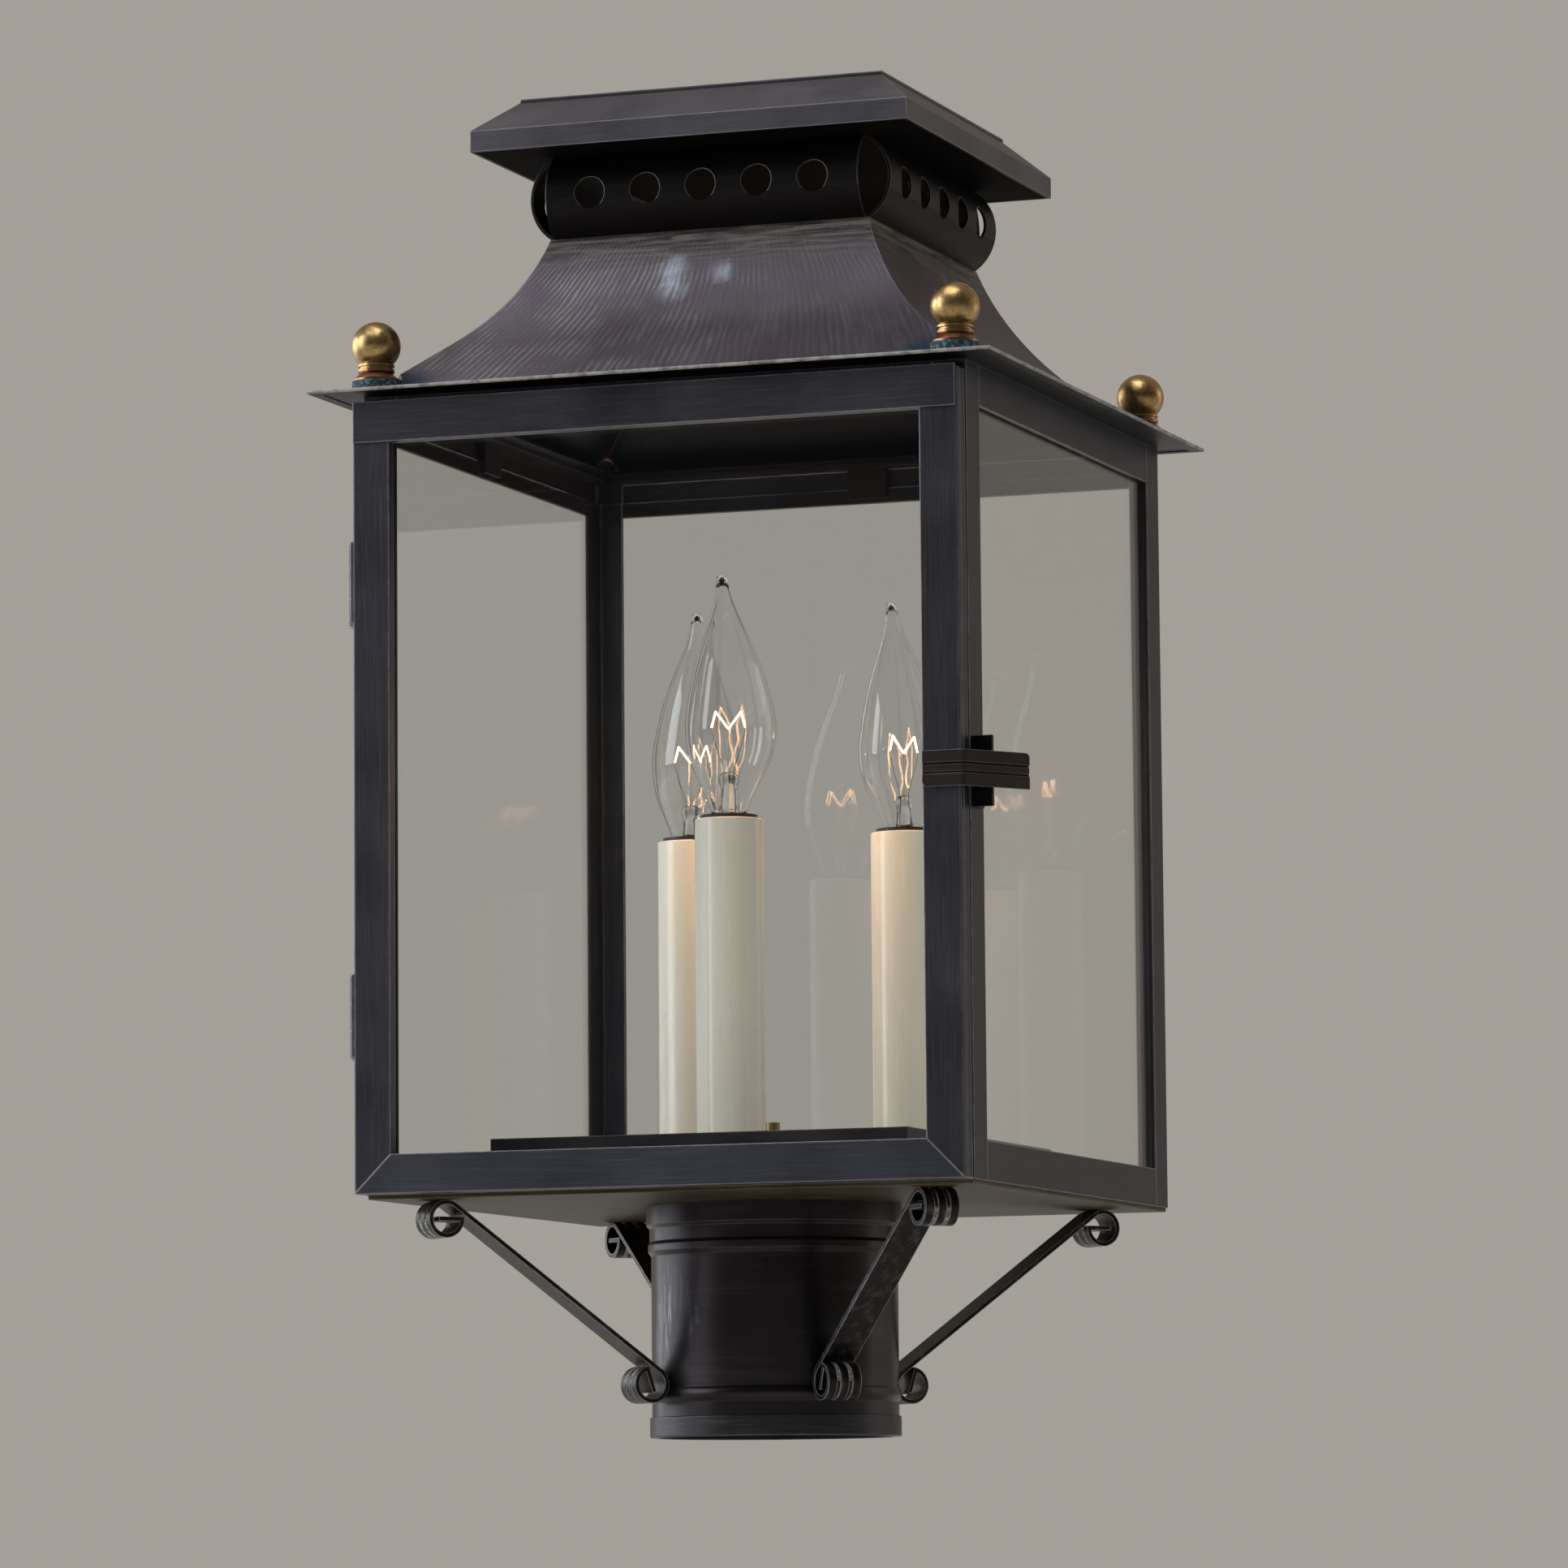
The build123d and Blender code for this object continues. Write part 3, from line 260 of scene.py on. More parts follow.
    def see_through_shadow(self, tint):
        """Lets light straight through the glass, so that what is inside is lit."""
        path = self.node("ShaderNodeLightPath")
        clear = self.node("ShaderNodeBsdfTransparent", Color=tint)
        both = self.node("ShaderNodeMixShader", i0=path.outputs["Is Shadow Ray"], i1=self.bsdf.outputs[0])
        self.plug(both.inputs[2], clear.outputs[0])
        self.tree.links.new(both.outputs[0], self.out.inputs["Surface"])


# ---------------------------------------------------------------- metals
ALONG_X = (40, 2400, 2400)
ALONG_Y = (2400, 40, 2400)
ALONG_Z = (2400, 2400, 40)

# the pale edge colour given to each material is partly wear and partly a painted edge highlight
BRONZE = dict(dark=(0.036, 0.035, 0.042), light=(0.058, 0.057, 0.069), wear_and_highlight=(0.40, 0.385, 0.39))
# painted shade for the body's inner faces and the faces under the roof
PAINTED_INNER_SHADE = (0.008, 0.0065, 0.006)
VERDIGRIS = (0.015, 0.20, 0.18)


def patinated(name, dark, light, wear_and_highlight, streaks, roughness=(0.36, 0.50), edge_width=0.0008, grain=0.000012,
              streak=0.10, metallic=0.85, specular=0.5, verdigris=None, paints_inner_shade=True):
    """Blackened metal: cloudy patina, fine brushing along one direction, edges painted brighter (partly wear,
    partly a painted highlight) and painted shade on the inner faces.
    """
    mat = Shade(name)
    clouds = mat.noise(mat.place, 30, 4, 0.55)
    brushed = mat.noise(mat.stretch(streaks), 1, 5, 0.65)
    mottled = mat.noise(mat.place, 260, 5, 0.65)
    tone = mat.mix(mat.ramp(clouds, (0.3, 0.0), (0.72, 1.0)), dark, light)
    tone = mat.over(tone, wear_and_highlight, mat.ramp(brushed, (0.50, 0.0), (0.75, 1.0)), streak)
    # edges painted pale and made less metallic: partly wear, partly a painted highlight that stays bright
    # under any light
    rubbed = mat.times(mat.edge(edge_width), mat.ramp(mottled, (0.3, 0.45), (0.6, 1.0)), clamp=True)
    inner_shade = mat.inner_shade_faces() if paints_inner_shade else 0.0
    rubbed = mat.times(rubbed, mat.minus(1.0, inner_shade), clamp=True)
    tone = mat.over(tone, wear_and_highlight, rubbed, 0.9)
    # painted shade: inner faces and faces under the roof darkened towards near black
    tone = mat.over(tone, PAINTED_INNER_SHADE, inner_shade, 0.8)
    if verdigris is not None:
        crust = mat.times(mat.spot_line(verdigris, 0.0022), mat.ramp(mottled, (0.48, 0.0), (0.62, 1.0)))
        tone = mat.over(tone, VERDIGRIS, crust, 0.6)
    gloss = mat.ramp(mat.halves(clouds, brushed), (0.3, roughness[0]), (0.7, roughness[1]))
    height = mat.plus(mat.times(brushed, 0.7), mat.times(mottled, 0.5))
    normal = mat.bump(height, grain, 1.0, mat.rounded(edge_width * 0.6))
    if metallic:
        metallic = mat.minus(metallic, mat.times(mat.math("MAXIMUM", rubbed, inner_shade), 0.55), clamp=True)
    if paints_inner_shade:
        specular = mat.minus(specular, mat.times(inner_shade, specular * 0.8))
    mat.set(Base_Color=tone, Roughness=gloss, Normal=normal, Metallic=metallic, Specular_IOR_Level=specular)
    mat.tone = tone
    return mat


def paint(mat, *names):
    """Gives the whole of each named CAD node one material."""
    for name in names:
        node = nodes[name]
        node.data.materials.clear()
        node.data.materials.append(mat.mat)


paint(patinated("bronze_upright", streaks=ALONG_Z, **BRONZE),
      "corner_post_front_left", "corner_post_front_right", "corner_post_back_right", "door_stile_left",
      "door_stile_right", "hinge_leaves_body", "hinge_leaves_door", "pane_clips", "door_clips")
paint(patinated("bronze_across", streaks=ALONG_X, **BRONZE),
      "door_rail_top", "bottom_rails_front_back", "top_rails_front_back")
paint(patinated("bronze_deep", streaks=ALONG_Y, **BRONZE), "bottom_rails_side", "top_rails_side")
paint(patinated("bronze_green", streaks=ALONG_Z, verdigris=GREEN_CORNER, **BRONZE), "corner_post_back_left")
paint(patinated("bronze_low", streaks=ALONG_X, dark=(0.044, 0.047, 0.057), light=(0.070, 0.074, 0.090),
                wear_and_highlight=(0.40, 0.385, 0.39)),
      "door_rail_bottom")
paint(patinated("catch_bronze", streaks=ALONG_Z, dark=(0.006, 0.005, 0.005), light=(0.012, 0.010, 0.010),
                wear_and_highlight=(0.08, 0.07, 0.065), edge_width=0.0005),
      "catch_plate")
paint(patinated("pan_bronze", streaks=(40, 300, 300), dark=(0.040, 0.027, 0.015),
                light=(0.095, 0.068, 0.040), wear_and_highlight=(0.20, 0.15, 0.10), roughness=(0.42, 0.56), streak=0.4,
                metallic=0.35, specular=0.12),
      "base_pan")
paint(patinated("vent_black", streaks=ALONG_X, dark=(0.008, 0.0065, 0.007), light=(0.013, 0.011, 0.012),
                wear_and_highlight=(0.26, 0.245, 0.235), roughness=(0.40, 0.5), edge_width=0.0006, streak=0.04),
      "vent_front", "vent_right", "vent_back", "vent_left")
# painted shade: the cap's underside made near black and barely glossy, for the shade under the cap
paint(patinated("soffit_painted_shade", streaks=ALONG_X, dark=(0.003, 0.0025, 0.0025), light=(0.006, 0.005, 0.005),
                wear_and_highlight=(0.01, 0.009, 0.008), roughness=(0.6, 0.75), metallic=0.0, specular=0.08),
      "cap_soffit")
paint(patinated("tray_bronze", streaks=ALONG_X, dark=(0.030, 0.025, 0.025), light=(0.046, 0.040, 0.040),
                wear_and_highlight=(0.16, 0.14, 0.135), roughness=(0.35, 0.5), paints_inner_shade=False),
      "wiring_cover")
paint(patinated("scroll_bronze", streaks=(300, 300, 60), dark=(0.013, 0.011, 0.010),
                light=(0.025, 0.022, 0.020), wear_and_highlight=(0.74, 0.70, 0.68), edge_width=0.0005,
                roughness=(0.32, 0.44)),
      *[f"scroll_bracket_{face}_{side}" for face in ("front", "back") for side in ("left", "right")])
paint(patinated("steel_dark", streaks=ALONG_Z, dark=(0.06, 0.06, 0.062), light=(0.12, 0.12, 0.124),
                wear_and_highlight=(0.4, 0.4, 0.4), roughness=(0.25, 0.4), edge_width=0.0003),
      "set_screws", "hinge_pins", "latch_rivets")
paint(patinated("band_bronze", streaks=(60, 60, 900), dark=(0.027, 0.026, 0.029),
                light=(0.046, 0.045, 0.050), wear_and_highlight=(0.34, 0.33, 0.33), roughness=(0.34, 0.46)),
      "fitter_band")


def strap_material():
    """Browner bronze with the shade of the grooves that run along the strap."""
    mat = patinated("strap_bronze", streaks=ALONG_X, dark=(0.040, 0.030, 0.027), light=(0.070, 0.055, 0.049),
                    wear_and_highlight=(0.34, 0.29, 0.27), edge_width=0.0004, roughness=(0.3, 0.42))
    tone = mat.tone
    # painted shade: the strap darkened almost to black along its two grooves
    for level in STRAP_GROOVES:
        tone = mat.over(tone, (0.004, 0.003, 0.003), mat.level_line(level), 0.85)
    mat.set(Base_Color=tone)
    return mat


def plate_material():
    """Near-black eaves plate with a painted highlight, broken by noise, along its folded outer edge."""
    mat = patinated("plate_bronze", streaks=ALONG_X, dark=(0.020, 0.016, 0.016), light=(0.034, 0.029, 0.029),
                    wear_and_highlight=(0.62, 0.59, 0.57), edge_width=0.0010)
    # painted highlight: the folded outer edge made pale and less metallic, for the light it catches
    hem_highlight = mat.times(mat.math("GREATER_THAN", mat.outwards(), PLATE_HEM),
                    mat.ramp(mat.noise(mat.place, 300, 4), (0.35, 0.4), (0.55, 1.0)))
    mat.set(Base_Color=mat.over(mat.tone, (0.34, 0.32, 0.30), hem_highlight, 0.9),
            Metallic=mat.minus(0.85, mat.times(hem_highlight, 0.6)))
    return mat


def cap_material():
    """Lighter bronze with a shadow line under the cap's top sheet."""
    mat = patinated("cap_bronze", streaks=ALONG_X, dark=(0.084, 0.078, 0.089), light=(0.130, 0.120, 0.135),
                    wear_and_highlight=(0.40, 0.38, 0.37))
    # painted shadow: a dark line under the rim of the cap's top sheet
    mat.set(Base_Color=mat.over(mat.tone, (0.01, 0.009, 0.01), mat.level_line(CAP_SHADOW_LINE), 0.8))
    return mat


def fitter_material():
    """Dark sleeve with faint bands round it and fibrous scuffs on its left side."""
    mat = patinated("fitter_bronze", streaks=(14, 14, 260), dark=(0.018, 0.014, 0.014),
                    light=(0.034, 0.029, 0.032), wear_and_highlight=(0.13, 0.12, 0.13), roughness=(0.26, 0.36),
                    streak=0.16, grain=0.000004)
    slanting = (0.0, 0.30, 0.0)
    fibres = mat.noise(mat.stretch((620, 620, 42), slanting), 1, 5, 0.62, 0.4)
    broad = mat.noise(mat.stretch((110, 110, 30), slanting), 1, 3)
    scuffed = mat.times(mat.ramp(fibres, (0.46, 0.0), (0.60, 1.0)), mat.ramp(broad, (0.42, 0.0), (0.58, 1.0)))
    scuffed = mat.times(scuffed, mat.spot(SLEEVE_SCUFF, 0.026))
    mat.set(Base_Color=mat.over(mat.tone, (0.22, 0.21, 0.25), scuffed, 0.6))
    return mat


def roof_material():
    """Aged copper: purple-brown, brushed down the slope, with pale rubs and brown staining at the top."""
    mat = Shade("roof_copper")
    clouds = mat.noise(mat.place, 22, 5, 0.6)
    spread = mat.node("ShaderNodeSeparateXYZ", Vector=mat.place)
    level = spread.outputs["Z"]

    # each slope has its own coordinates: across the fan of marks, and the level
    turned = mat.vectors("ABSOLUTE", mat.true_normal())
    facing = mat.node("ShaderNodeSeparateXYZ", Vector=turned)
    sideways = mat.math("GREATER_THAN", facing.outputs["X"], facing.outputs["Y"])
    across = mat.node("ShaderNodeMix", {"data_type": "FLOAT"}, i0=sideways, i2=spread.outputs["X"],
                      i3=spread.outputs["Y"]).outputs[0]
    fan = mat.math("DIVIDE", across, mat.minus(FAN_APEX, level))
    slope = mat.node("ShaderNodeCombineXYZ", X=mat.times(fan, FAN_MIDDLE), Y=level, Z=sideways).outputs[0]

    # brush marks about 1.6 mm apart at the top of a slope and 2.9 mm at its foot, painted strongest on the
    # left where the light falls, so partly real marks and partly painted light
    fine = mat.noise(mat.stretch((1100, 70, 9), vector=slope), 1, 5, 0.65)
    waver = mat.noise(mat.stretch((120, 60, 9), vector=slope), 1, 3)
    phase = mat.plus(mat.times(fan, FAN_MARKS), mat.times(waver, FAN_WAVER))
    marks = mat.plus(mat.times(mat.math("SINE", phase), 0.5), 0.5)
    left = mat.ramp(mat.plus(mat.times(spread.outputs["X"], 5.0), 0.5), (0.25, 1.0), (0.66, 0.16))
    patchy = mat.ramp(mat.noise(mat.place, 60, 3), (0.40, 0.1), (0.62, 1.0))
    marks = mat.times(mat.ramp(marks, (0.35, 0.0), (0.95, 1.0)), mat.times(left, patchy))
    tone = mat.mix(mat.ramp(clouds, (0.32, 0.0), (0.68, 1.0)), (0.066, 0.057, 0.067), (0.105, 0.090, 0.105))
    tone = mat.over(tone, (0.20, 0.18, 0.20), mat.ramp(fine, (0.48, 0.0), (0.70, 1.0)), 0.22)
    tone = mat.over(tone, (0.34, 0.315, 0.34), marks, 0.62)
    # painted light: the left of the roof made lighter, as lit from that side
    tone = mat.over(tone, (0.30, 0.28, 0.31), left, 0.16)
    purple = mat.ramp(mat.noise(mat.place, 34, 3), (0.5, 0.0), (0.7, 1.0))
    tone = mat.over(tone, (0.100, 0.066, 0.092), purple, 0.5)

    # brown staining at the top, pale rubs, and blue-grey stains round the finials
    risen = mat.times(mat.minus(level, SKIRT_FOOT), PER_SKIRT_HEIGHT)
    top = mat.ramp(risen, (0.74, 0.0), (0.98, 1.0))
    stain = mat.ramp(mat.noise(mat.stretch((45, 45, 800)), 1, 5, 0.7, 0.5), (0.42, 0.0), (0.60, 1.0))
    tone = mat.over(tone, (0.028, 0.024, 0.026), top, 0.65)
    tone = mat.over(tone, (0.28, 0.25, 0.20), mat.times(top, stain), 0.8)
    rub = mat.ramp(mat.noise(mat.stretch((420, 60, 9), vector=slope), 1, 4), (0.38, 0.15), (0.62, 1.0))
    for centre, reach, strength in PALE_RUBS:
        tone = mat.over(tone, (0.46, 0.51, 0.58), mat.times(mat.spot(centre, reach), rub), strength)
    aside, deep, height = CORNER_STAIN
    for x in (-aside, aside):
        for y in (-deep, deep):
            tone = mat.over(tone, (0.022, 0.048, 0.085), mat.spot((x, y, height), 0.011), 0.9)

    # painted shade where the sheet faces down, inside it and on its neck under the cap; edges painted bright,
    # partly wear and partly a painted highlight
    normal = mat.node("ShaderNodeNewGeometry").outputs["Normal"]
    under = mat.ramp(mat.part("Z", normal), (0.0, 0.85), (0.05, 0.0))
    # painted shade on the faces that point down
    tone = mat.mix(under, tone, (0.006, 0.005, 0.005))
    neck = mat.math("MAXIMUM", mat.inner_shade_faces(), mat.math("GREATER_THAN", level, ROOF_NECK))
    # painted shade inside the roof and on its neck
    tone = mat.over(tone, (0.004, 0.0035, 0.0035), neck, 0.9)
    wear_and_highlight = mat.times(mat.edge(0.0011), mat.ramp(fine, (0.3, 0.3), (0.6, 1.0)))
    tone = mat.over(tone, (0.30, 0.27, 0.275), wear_and_highlight, 0.6)
    gloss = mat.ramp(mat.halves(clouds, fine), (0.3, 0.38), (0.7, 0.54))
    relief = mat.plus(mat.times(marks, 0.6), mat.times(fine, 0.25))
    mat.set(Base_Color=tone, Roughness=gloss, Normal=mat.bump(relief, 0.00006),
            Metallic=mat.minus(0.9, mat.times(neck, 0.6)))
    return mat


def brass_material():
    """Aged brass finials: bright rubbed tops, brown tarnish and copper-coloured feet."""
    mat = Shade("aged_brass", Metallic=1.0)
    tarnish = mat.noise(mat.place, 210, 5, 0.62)
    speck = mat.noise(mat.place, 900, 4, 0.6)
    tone = mat.ramp(tarnish, (0.30, (0.17, 0.105, 0.045)), (0.46, (0.44, 0.29, 0.125)),
                    (0.68, (0.62, 0.43, 0.19)))
    risen = mat.times(mat.minus(mat.part("Z"), FINIAL_FOOT), PER_FINIAL_FOOT)
    tone = mat.mix(mat.ramp(risen, (0.55, 1.0), (0.90, 0.0)), tone, (0.34, 0.17, 0.105))
    tone = mat.over(tone, (0.07, 0.045, 0.025), mat.ramp(speck, (0.58, 0.0), (0.70, 1.0)), 0.6)
    mat.set(Base_Color=tone, Roughness=mat.ramp(tarnish, (0.3, 0.44), (0.7, 0.24)),
            Normal=mat.bump(mat.plus(tarnish, speck), 0.00004))
    return mat


def verdigris_material():
    """Washers under the finials, crusted blue-green."""
    mat = Shade("verdigris", Metallic=0.4)
    crust = mat.noise(mat.place, 700, 6, 0.65)
    tone = mat.ramp(crust, (0.34, (0.015, 0.013, 0.014)), (0.50, (0.03, 0.06, 0.08)),
                    (0.60, (0.12, 0.24, 0.28)), (0.74, (0.03, 0.03, 0.04)))
    mat.set(Base_Color=tone, Roughness=mat.ramp(crust, (0.3, 0.5), (0.7, 0.9)),
            Normal=mat.bump(crust, 0.0004))
    return mat


paint(strap_material(), "latch_strap")
paint(plate_material(), "roof_plate")
paint(cap_material(), "cap_shell", "cap_panel")
paint(fitter_material(), "fitter_sleeve")
paint(roof_material(), "roof_skirt")
paint(brass_material(), "corner_finials")
paint(verdigris_material(), "finial_washers")
paint(patinated("nut_brass", streaks=(200, 200, 200), dark=(0.26, 0.17, 0.07), light=(0.46, 0.32, 0.14),
                wear_and_highlight=(0.7, 0.54, 0.3), roughness=(0.25, 0.4), edge_width=0.0004, paints_inner_shade=False),
      "centre_stud", "centre_nut", "socket_stems")


# ---------------------------------------------------------------- candle sleeves and sockets
def candle_material():
    """Glossy ivory tube with a faint wax-like mottling."""
    mat = Shade("candle_ivory", Specular_IOR_Level=0.5, Coat_Weight=0.5, Coat_Roughness=0.08,
                Subsurface_Weight=0.08, Subsurface_Radius=(0.002, 0.0014, 0.0008), Subsurface_Scale=1.0)
    soft = mat.noise(mat.stretch((90, 90, 12)), 1, 4, 0.5)
    fine = mat.noise(mat.place, 600, 3, 0.5)
    tone = mat.mix(mat.ramp(soft, (0.3, 0.0), (0.7, 1.0)), (0.73, 0.665, 0.545), (0.79, 0.73, 0.615))
    mat.set(Base_Color=tone, Roughness=mat.ramp(soft, (0.3, 0.22), (0.7, 0.34)),
            Normal=mat.bump(mat.plus(soft, mat.times(fine, 0.15)), 0.00012))
    return mat


def socket_material():
    """Black moulded socket with a fine grain."""
    mat = Shade("socket_black", Specular_IOR_Level=0.5)
    grain = mat.noise(mat.place, 900, 4)
    mat.set(Base_Color=mat.ramp(grain, (0.3, (0.010, 0.009, 0.008)), (0.7, (0.026, 0.023, 0.021))),
            Roughness=mat.ramp(grain, (0.3, 0.35), (0.7, 0.55)), Normal=mat.bump(grain, 0.00005))
    return mat


paint(candle_material(), "candle_sleeve_1", "candle_sleeve_2", "candle_sleeve_3")
paint(socket_material(), "lamp_sockets")
paint(patinated("bulb_shell_brass", streaks=(100, 100, 900), dark=(0.40, 0.30, 0.15),
                light=(0.60, 0.47, 0.26), wear_and_highlight=(0.8, 0.66, 0.42), roughness=(0.22, 0.35),
                edge_width=0.0003, paints_inner_shade=False),
      "bulb_1_base", "bulb_2_base", "bulb_3_base")


# ---------------------------------------------------------------- glass
def pane_material(name, axis):
    """Clear pane whose cut edges show green; axis is the pane's own normal."""
    mat = Shade(name, IOR=1.5, Transmission_Weight=1.0)
    facing = mat.vectors("DOT_PRODUCT", mat.true_normal(), axis, result="Value")
    face = mat.math("GREATER_THAN", mat.math("ABSOLUTE", facing), 0.5)
    smear = mat.noise(mat.stretch((30, 30, 9)), 1, 5, 0.6, 0.8)
    wavy = mat.bump(mat.noise(mat.place, 14, 2), 0.00008, 0.5)
    mat.set(Base_Color=mat.mix(face, (0.18, 0.50, 0.45), (0.972, 0.980, 0.974)),
            Roughness=mat.ramp(smear, (0.45, 0.0), (0.75, 0.003)), Normal=wavy)
    mat.see_through_shadow((0.93, 0.95, 0.94))
    return mat


paint(pane_material("pane_across", (0, 1, 0)), "pane_back", "door_pane")
paint(pane_material("pane_deep", (1, 0, 0)), "pane_left", "pane_right")

bulb_clear = Shade("bulb_clear", IOR=1.46, Transmission_Weight=1.0)
streaky = bulb_clear.noise(bulb_clear.stretch((120, 120, 25)), 1, 3, 0.5)
bulb_clear.set(Base_Color=(0.985, 0.985, 0.98), Roughness=bulb_clear.ramp(streaky, (0.4, 0.0), (0.8, 0.004)),
               Normal=bulb_clear.bump(streaky, 0.00003))
bulb_clear.see_through_shadow((0.97, 0.97, 0.96))

stem_clear = Shade("stem_glass", IOR=1.5, Transmission_Weight=1.0)
ropy = stem_clear.noise(stem_clear.stretch((500, 500, 90)), 1, 3)
stem_clear.set(Base_Color=(0.96, 0.95, 0.93), Roughness=stem_clear.ramp(ropy, (0.4, 0.02), (0.7, 0.08)),
               Normal=stem_clear.bump(ropy, 0.0003))
stem_clear.see_through_shadow((0.95, 0.95, 0.94))

lead_metal = Shade("lead_nickel", Metallic=1.0)
drawn = lead_metal.noise(lead_metal.stretch((2000, 2000, 200)), 1, 3)
lead_metal.set(Base_Color=lead_metal.ramp(drawn, (0.3, (0.20, 0.17, 0.14)), (0.7, (0.36, 0.31, 0.26))),
               Roughness=lead_metal.ramp(drawn, (0.3, 0.25), (0.7, 0.4)))

glowing = Shade("filament_glow", Roughness=0.5)
heat = glowing.ramp(glowing.noise(glowing.place, 500, 2), (0.3, (1.0, 0.50, 0.20)), (0.7, (1.0, 0.66, 0.36)))
glowing.set(Base_Color=(0.9, 0.6, 0.3), Emission_Color=heat, Emission_Strength=110.0)

# ---------------------------------------------------------------- bulbs, in millimetres above each neck
MILLIMETRES = 1000  # in a metre
FLAME = (
    (0.0, 5.6), (2.0, 5.9), (6.0, 7.3), (12.5, 10.4), (19.0, 13.3), (27.0, 14.7), (32.2, 14.5), (41.4, 12.8),
    (49.3, 10.7), (58.6, 7.3), (68.2, 3.6), (75.2, 2.0), (78.6, 1.4),
)
TIP = FLAME[-1][0]
WIDEST = 28.0
HOLLOW_TOP = 77.6
GLASS_WALL = 0.5
OUTER_RINGS = 46
INNER_RINGS = 40
# how far each glass stands aside at its widest place and at its tip
LEANS = ((0.9, -2.0), (0.0, -4.0), (2.2, 2.6))
LEAN_POWER = 1.5
STEM_RINGS = (
    (0.0, 0.0), (4.6, 0.0), (4.4, 0.6), (3.4, 2.6), (2.7, 5.4), (2.4, 8.5), (2.3, 10.0), (2.45, 11.4),
    (2.4, 12.8), (2.0, 13.8), (1.2, 14.4), (0.0, 14.6),
)
STEM_SIDES = 32
PINCH_FROM = 8.0
PINCH_RISE = 3.5
PINCH_WIDER = 0.35
PINCH_FLATTER = 0.55
SIDE_LEAD = ((1.5, 1.0), (1.5, 13.5), (1.9, 16.5), (3.8, 22.0), (5.1, 27.0), (5.4, 29.2))
MIDDLE_LEAD = ((0.0, 13.0), (0.0, 22.0), (0.0, 28.2), (0.15, 28.6))
SIDE_LEAD_WIDTH = 0.34
MIDDLE_LEAD_WIDTH = 0.18
COIL_CORNERS = ((-5.4, 29.0), (-4.1, 34.0), (0.0, 28.5), (4.1, 34.0), (5.4, 29.0))
COIL_TURNS = 14
COIL_STEPS = 8
COIL_RADIUS = 0.26
COIL_WIDTH = 0.14
GLOW_HEIGHT = 31.5

# in metres, with each bulb's own turn in radians and its light in watts
NECK_LEVELS = (0.198, 0.195, 0.195)
CANDLE_RING = 0.0431
CANDLE_SETBACK = 0.0044
BULB_TURNS = (0.35, 0.9, 0.1)
GLOW_POWER = 0.13


def flame_radius(height):
    """Smooth radius of the glass at a height above the neck, through the profile's points."""
    points = [(-FLAME[1][0], FLAME[0][1]), *FLAME, (2 * TIP - FLAME[-2][0], 0.2)]
    for index in range(1, len(points) - 2):
        (x0, y0), (x1, y1), (x2, y2), (x3, y3) = points[index - 1:index + 3]
        if height <= x2 or index == len(points) - 3:
            t = min(1.0, max(0.0, (height - x1) / (x2 - x1)))
            before = (y2 - y0) / (x2 - x0) * (x2 - x1)
            after = (y3 - y1) / (x3 - x1) * (x2 - x1)
            return ((2 * t**3 - 3 * t**2 + 1) * y1 + (t**3 - 2 * t**2 + t) * before
                    + (3 * t**2 - 2 * t**3) * y2 + (t**3 - t**2) * after)


def glass_rings(top, count, wall):
    """Rings of the glass from its neck to below a top, drawn in by the wall's thickness."""
    levels = [top * step / count for step in range(count)]
    return [(flame_radius(level) - wall, level) for level in levels]


def lean(height, number):
    """How far the glass's centre line has moved aside along X at a height, in millimetres."""
    at_widest, at_tip = LEANS[number - 1]
    risen = min(1.0, height / WIDEST)
    risen = risen * risen * (3 - 2 * risen)
    beyond = max(0.0, height - WIDEST) / (TIP - WIDEST)
    return at_widest * risen + (at_tip - at_widest) * beyond**LEAN_POWER


def lathe(name, rings, centre, neck, segments=48, number=None):
    """Mesh turned from (radius, height) rings in millimetres; a bulb's number makes it lean."""
    work = bmesh.new()
    loops = []
    for radius, height in rings:
        aside = lean(height, number) if number else 0.0
        loop = []
        for step in range(segments if radius > 0 else 1):
            turn = 2 * pi * step / segments
            loop.append(work.verts.new((
                centre[0] + (radius * cos(turn) + aside) / MILLIMETRES,
                centre[1] + radius * sin(turn) / MILLIMETRES,
                neck + height / MILLIMETRES,
            )))
        loops.append(loop)
    for low, high in zip(loops, loops[1:]):
        for step in range(segments):
            after = (step + 1) % segments
            ring = [low[step % len(low)], low[after % len(low)]]
            ring += [high[after % len(high)], high[step % len(high)]]
            face = list(dict.fromkeys(ring))
            if len(face) > 2:
                work.faces.new(face)
    bmesh.ops.recalc_face_normals(work, faces=work.faces)
    mesh = bpy.data.meshes.new(name)
    work.to_mesh(mesh)
    work.free()
    for face in mesh.polygons:
        face.use_smooth = True
    made = bpy.data.objects.new(name, mesh)
    scene.collection.objects.link(made)
    return made


def wire(name, points, width, resolution=2):
    """Round wire of a width in millimetres through points in metres."""
    curve = bpy.data.curves.new(name, "CURVE")
    curve.dimensions = "3D"
    curve.bevel_depth = width / MILLIMETRES / 2
    curve.bevel_resolution = resolution
    spline = curve.splines.new("POLY")
    spline.points.add(len(points) - 1)
    for point, place in zip(spline.points, points):
        point.co = (*place, 1)
    made = bpy.data.objects.new(name, curve)
    scene.collection.objects.link(made)
    return made


